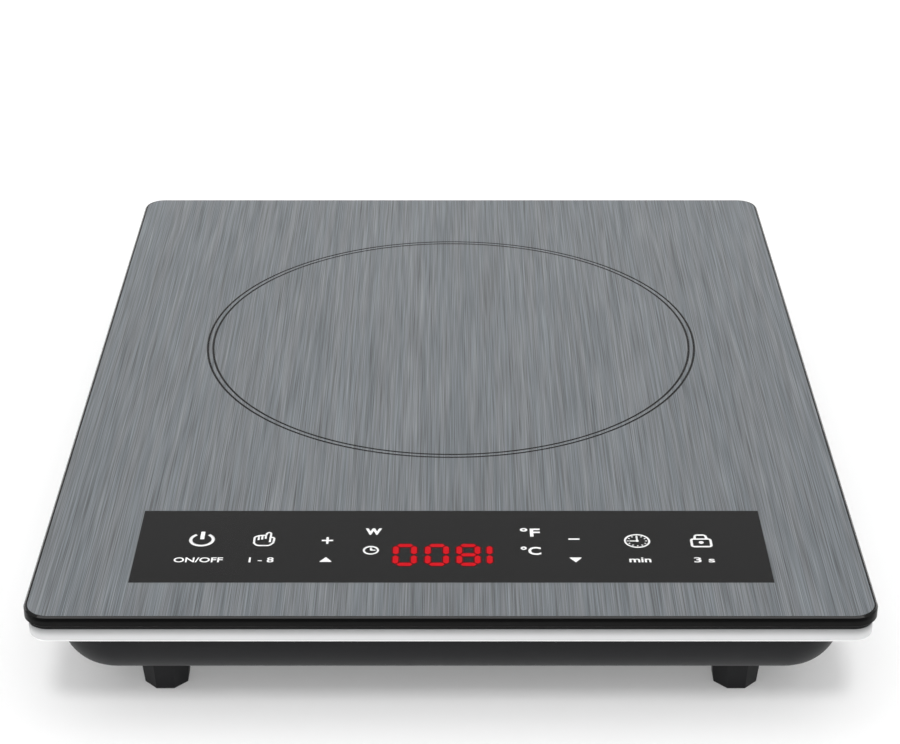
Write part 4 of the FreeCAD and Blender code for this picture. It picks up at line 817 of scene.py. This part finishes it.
# ------------------------------------------------------------------------- studio and camera


# the share of the floor's own light, and how far out it starts and ends turning pure white
FLOOR_GLOW = 0.225
FLOOR_NEAR = 500
FLOOR_FAR = 1500

# the floor's shape, in metres
FLOOR_START = 0.001
FLOOR_RADIUS = 3.0
COVE_RADIUS = 0.5
COVE_STEPS = 12
WALL_TOP = 1.0
FLOOR_STEPS = 96


def pale_floor():
    """White paper that looks lit through from behind, and pure white in plain sight far from the middle."""
    finish = Finish("pale_floor")
    paper = finish.blend(finish.noise(400), 0.945, 0.955)
    sheet_inputs = {"Base Color": paper, "Roughness": 0.9, "Specular IOR Level": 0.1}
    sheet = finish.node("BsdfPrincipled", inputs=sheet_inputs)
    glow = finish.node("Emission", inputs={"Color": colour(1.0), "Strength": 1.0})
    plain = finish.node("LightPath", output="Is Camera Ray")
    seen = plain + finish.node("LightPath", output="Is Glossy Ray")
    seen = seen + finish.node("LightPath", output="Is Transmission Ray")
    x, y = finish.axes()[:2]
    far = finish.step(finish.math("SQRT", x * x + y * y), FLOOR_NEAR, FLOOR_FAR)
    share = FLOOR_GLOW * seen + (1 - FLOOR_GLOW) * plain * far
    mixed = finish.node("MixShader", inputs={0: share, 1: sheet, 2: glow})
    finish.node("OutputMaterial", inputs={"Surface": mixed})
    return finish.material


def studio():
    """A pale round floor with a low curved wall."""
    work = bmesh.new()
    start = work.verts.new((FLOOR_START, 0, 0))
    foot = work.verts.new((FLOOR_RADIUS - COVE_RADIUS, 0, 0))
    work.edges.new((start, foot))
    corner = work.verts.new((FLOOR_RADIUS - COVE_RADIUS, 0, 0))
    bmesh.ops.spin(
        work,
        geom=[corner],
        cent=(FLOOR_RADIUS - COVE_RADIUS, 0, COVE_RADIUS),
        axis=(0, -1, 0),
        angle=math.pi / 2,
        steps=COVE_STEPS,
    )
    ends = [vertex for vertex in work.verts if vertex.co.z > COVE_RADIUS - 1e-4]
    top = work.verts.new((FLOOR_RADIUS, 0, WALL_TOP))
    work.edges.new((ends[0], top))
    bmesh.ops.remove_doubles(work, verts=work.verts, dist=1e-5)
    bmesh.ops.spin(
        work,
        geom=work.verts[:] + work.edges[:],
        cent=(0, 0, 0),
        axis=(0, 0, 1),
        angle=2 * math.pi,
        steps=FLOOR_STEPS,
        use_merge=True,
    )
    bmesh.ops.recalc_face_normals(work, faces=work.faces)
    mesh = bpy.data.meshes.new("floor")
    work.to_mesh(mesh)
    work.free()
    mesh.shade_smooth()
    mesh.materials.append(pale_floor())
    floor = bpy.data.objects.new("floor", mesh)
    bpy.context.scene.collection.objects.link(floor)


SKY = 0.28
# strength, rise and width of each lamp, and whether polished surfaces mirror it
LAMPS = {"key_lamp": (1.15, 55, 10, False), "soft_lamp": (2.05, 62, 76, True)}


def light():
    """An even grey sky, a small lamp in front and a broad one above it."""
    world = bpy.data.worlds.new("sky")
    world.use_nodes = True
    world.node_tree.nodes["Background"].inputs["Color"].default_value = (SKY, SKY, SKY, 1)
    bpy.context.scene.world = world
    for name, (strength, rise, width, mirrored) in LAMPS.items():
        lamp = bpy.data.lights.new(name, "SUN")
        lamp.energy = strength
        lamp.angle = math.radians(width)
        holder = bpy.data.objects.new(name, lamp)
        holder.visible_glossy = mirrored
        holder.rotation_euler = (math.radians(90 - rise), 0, 0)
        bpy.context.scene.collection.objects.link(holder)


CAMERA_PLACE = (0.45, -795.8, 457.8)
CAMERA_TILT = 27.03
CAMERA_LENS = 90.92
CAMERA_SHIFT = (-0.0023, 0.00044)
CAMERA_SENSOR = 36
CAMERA_CLIP = (0.01, 50)


def camera():
    lens = bpy.data.cameras.new("camera")
    lens.lens = CAMERA_LENS
    lens.sensor_width = CAMERA_SENSOR
    lens.shift_x, lens.shift_y = CAMERA_SHIFT
    lens.clip_start, lens.clip_end = CAMERA_CLIP
    holder = bpy.data.objects.new("camera", lens)
    holder.location = Vector(CAMERA_PLACE) * MM
    holder.rotation_euler = (math.radians(90 - CAMERA_TILT), 0, 0)
    bpy.context.scene.collection.objects.link(holder)
    bpy.context.scene.camera = holder


camera()
light()
studio()
dress_frame(finishes())
film(brushed_film())
panel(print_white())
digits(lit_red("lit_segment", LIT_RED), lit_red("segment_glow", GLOW_RED))
bpy.context.scene.view_settings.view_transform = "Standard"
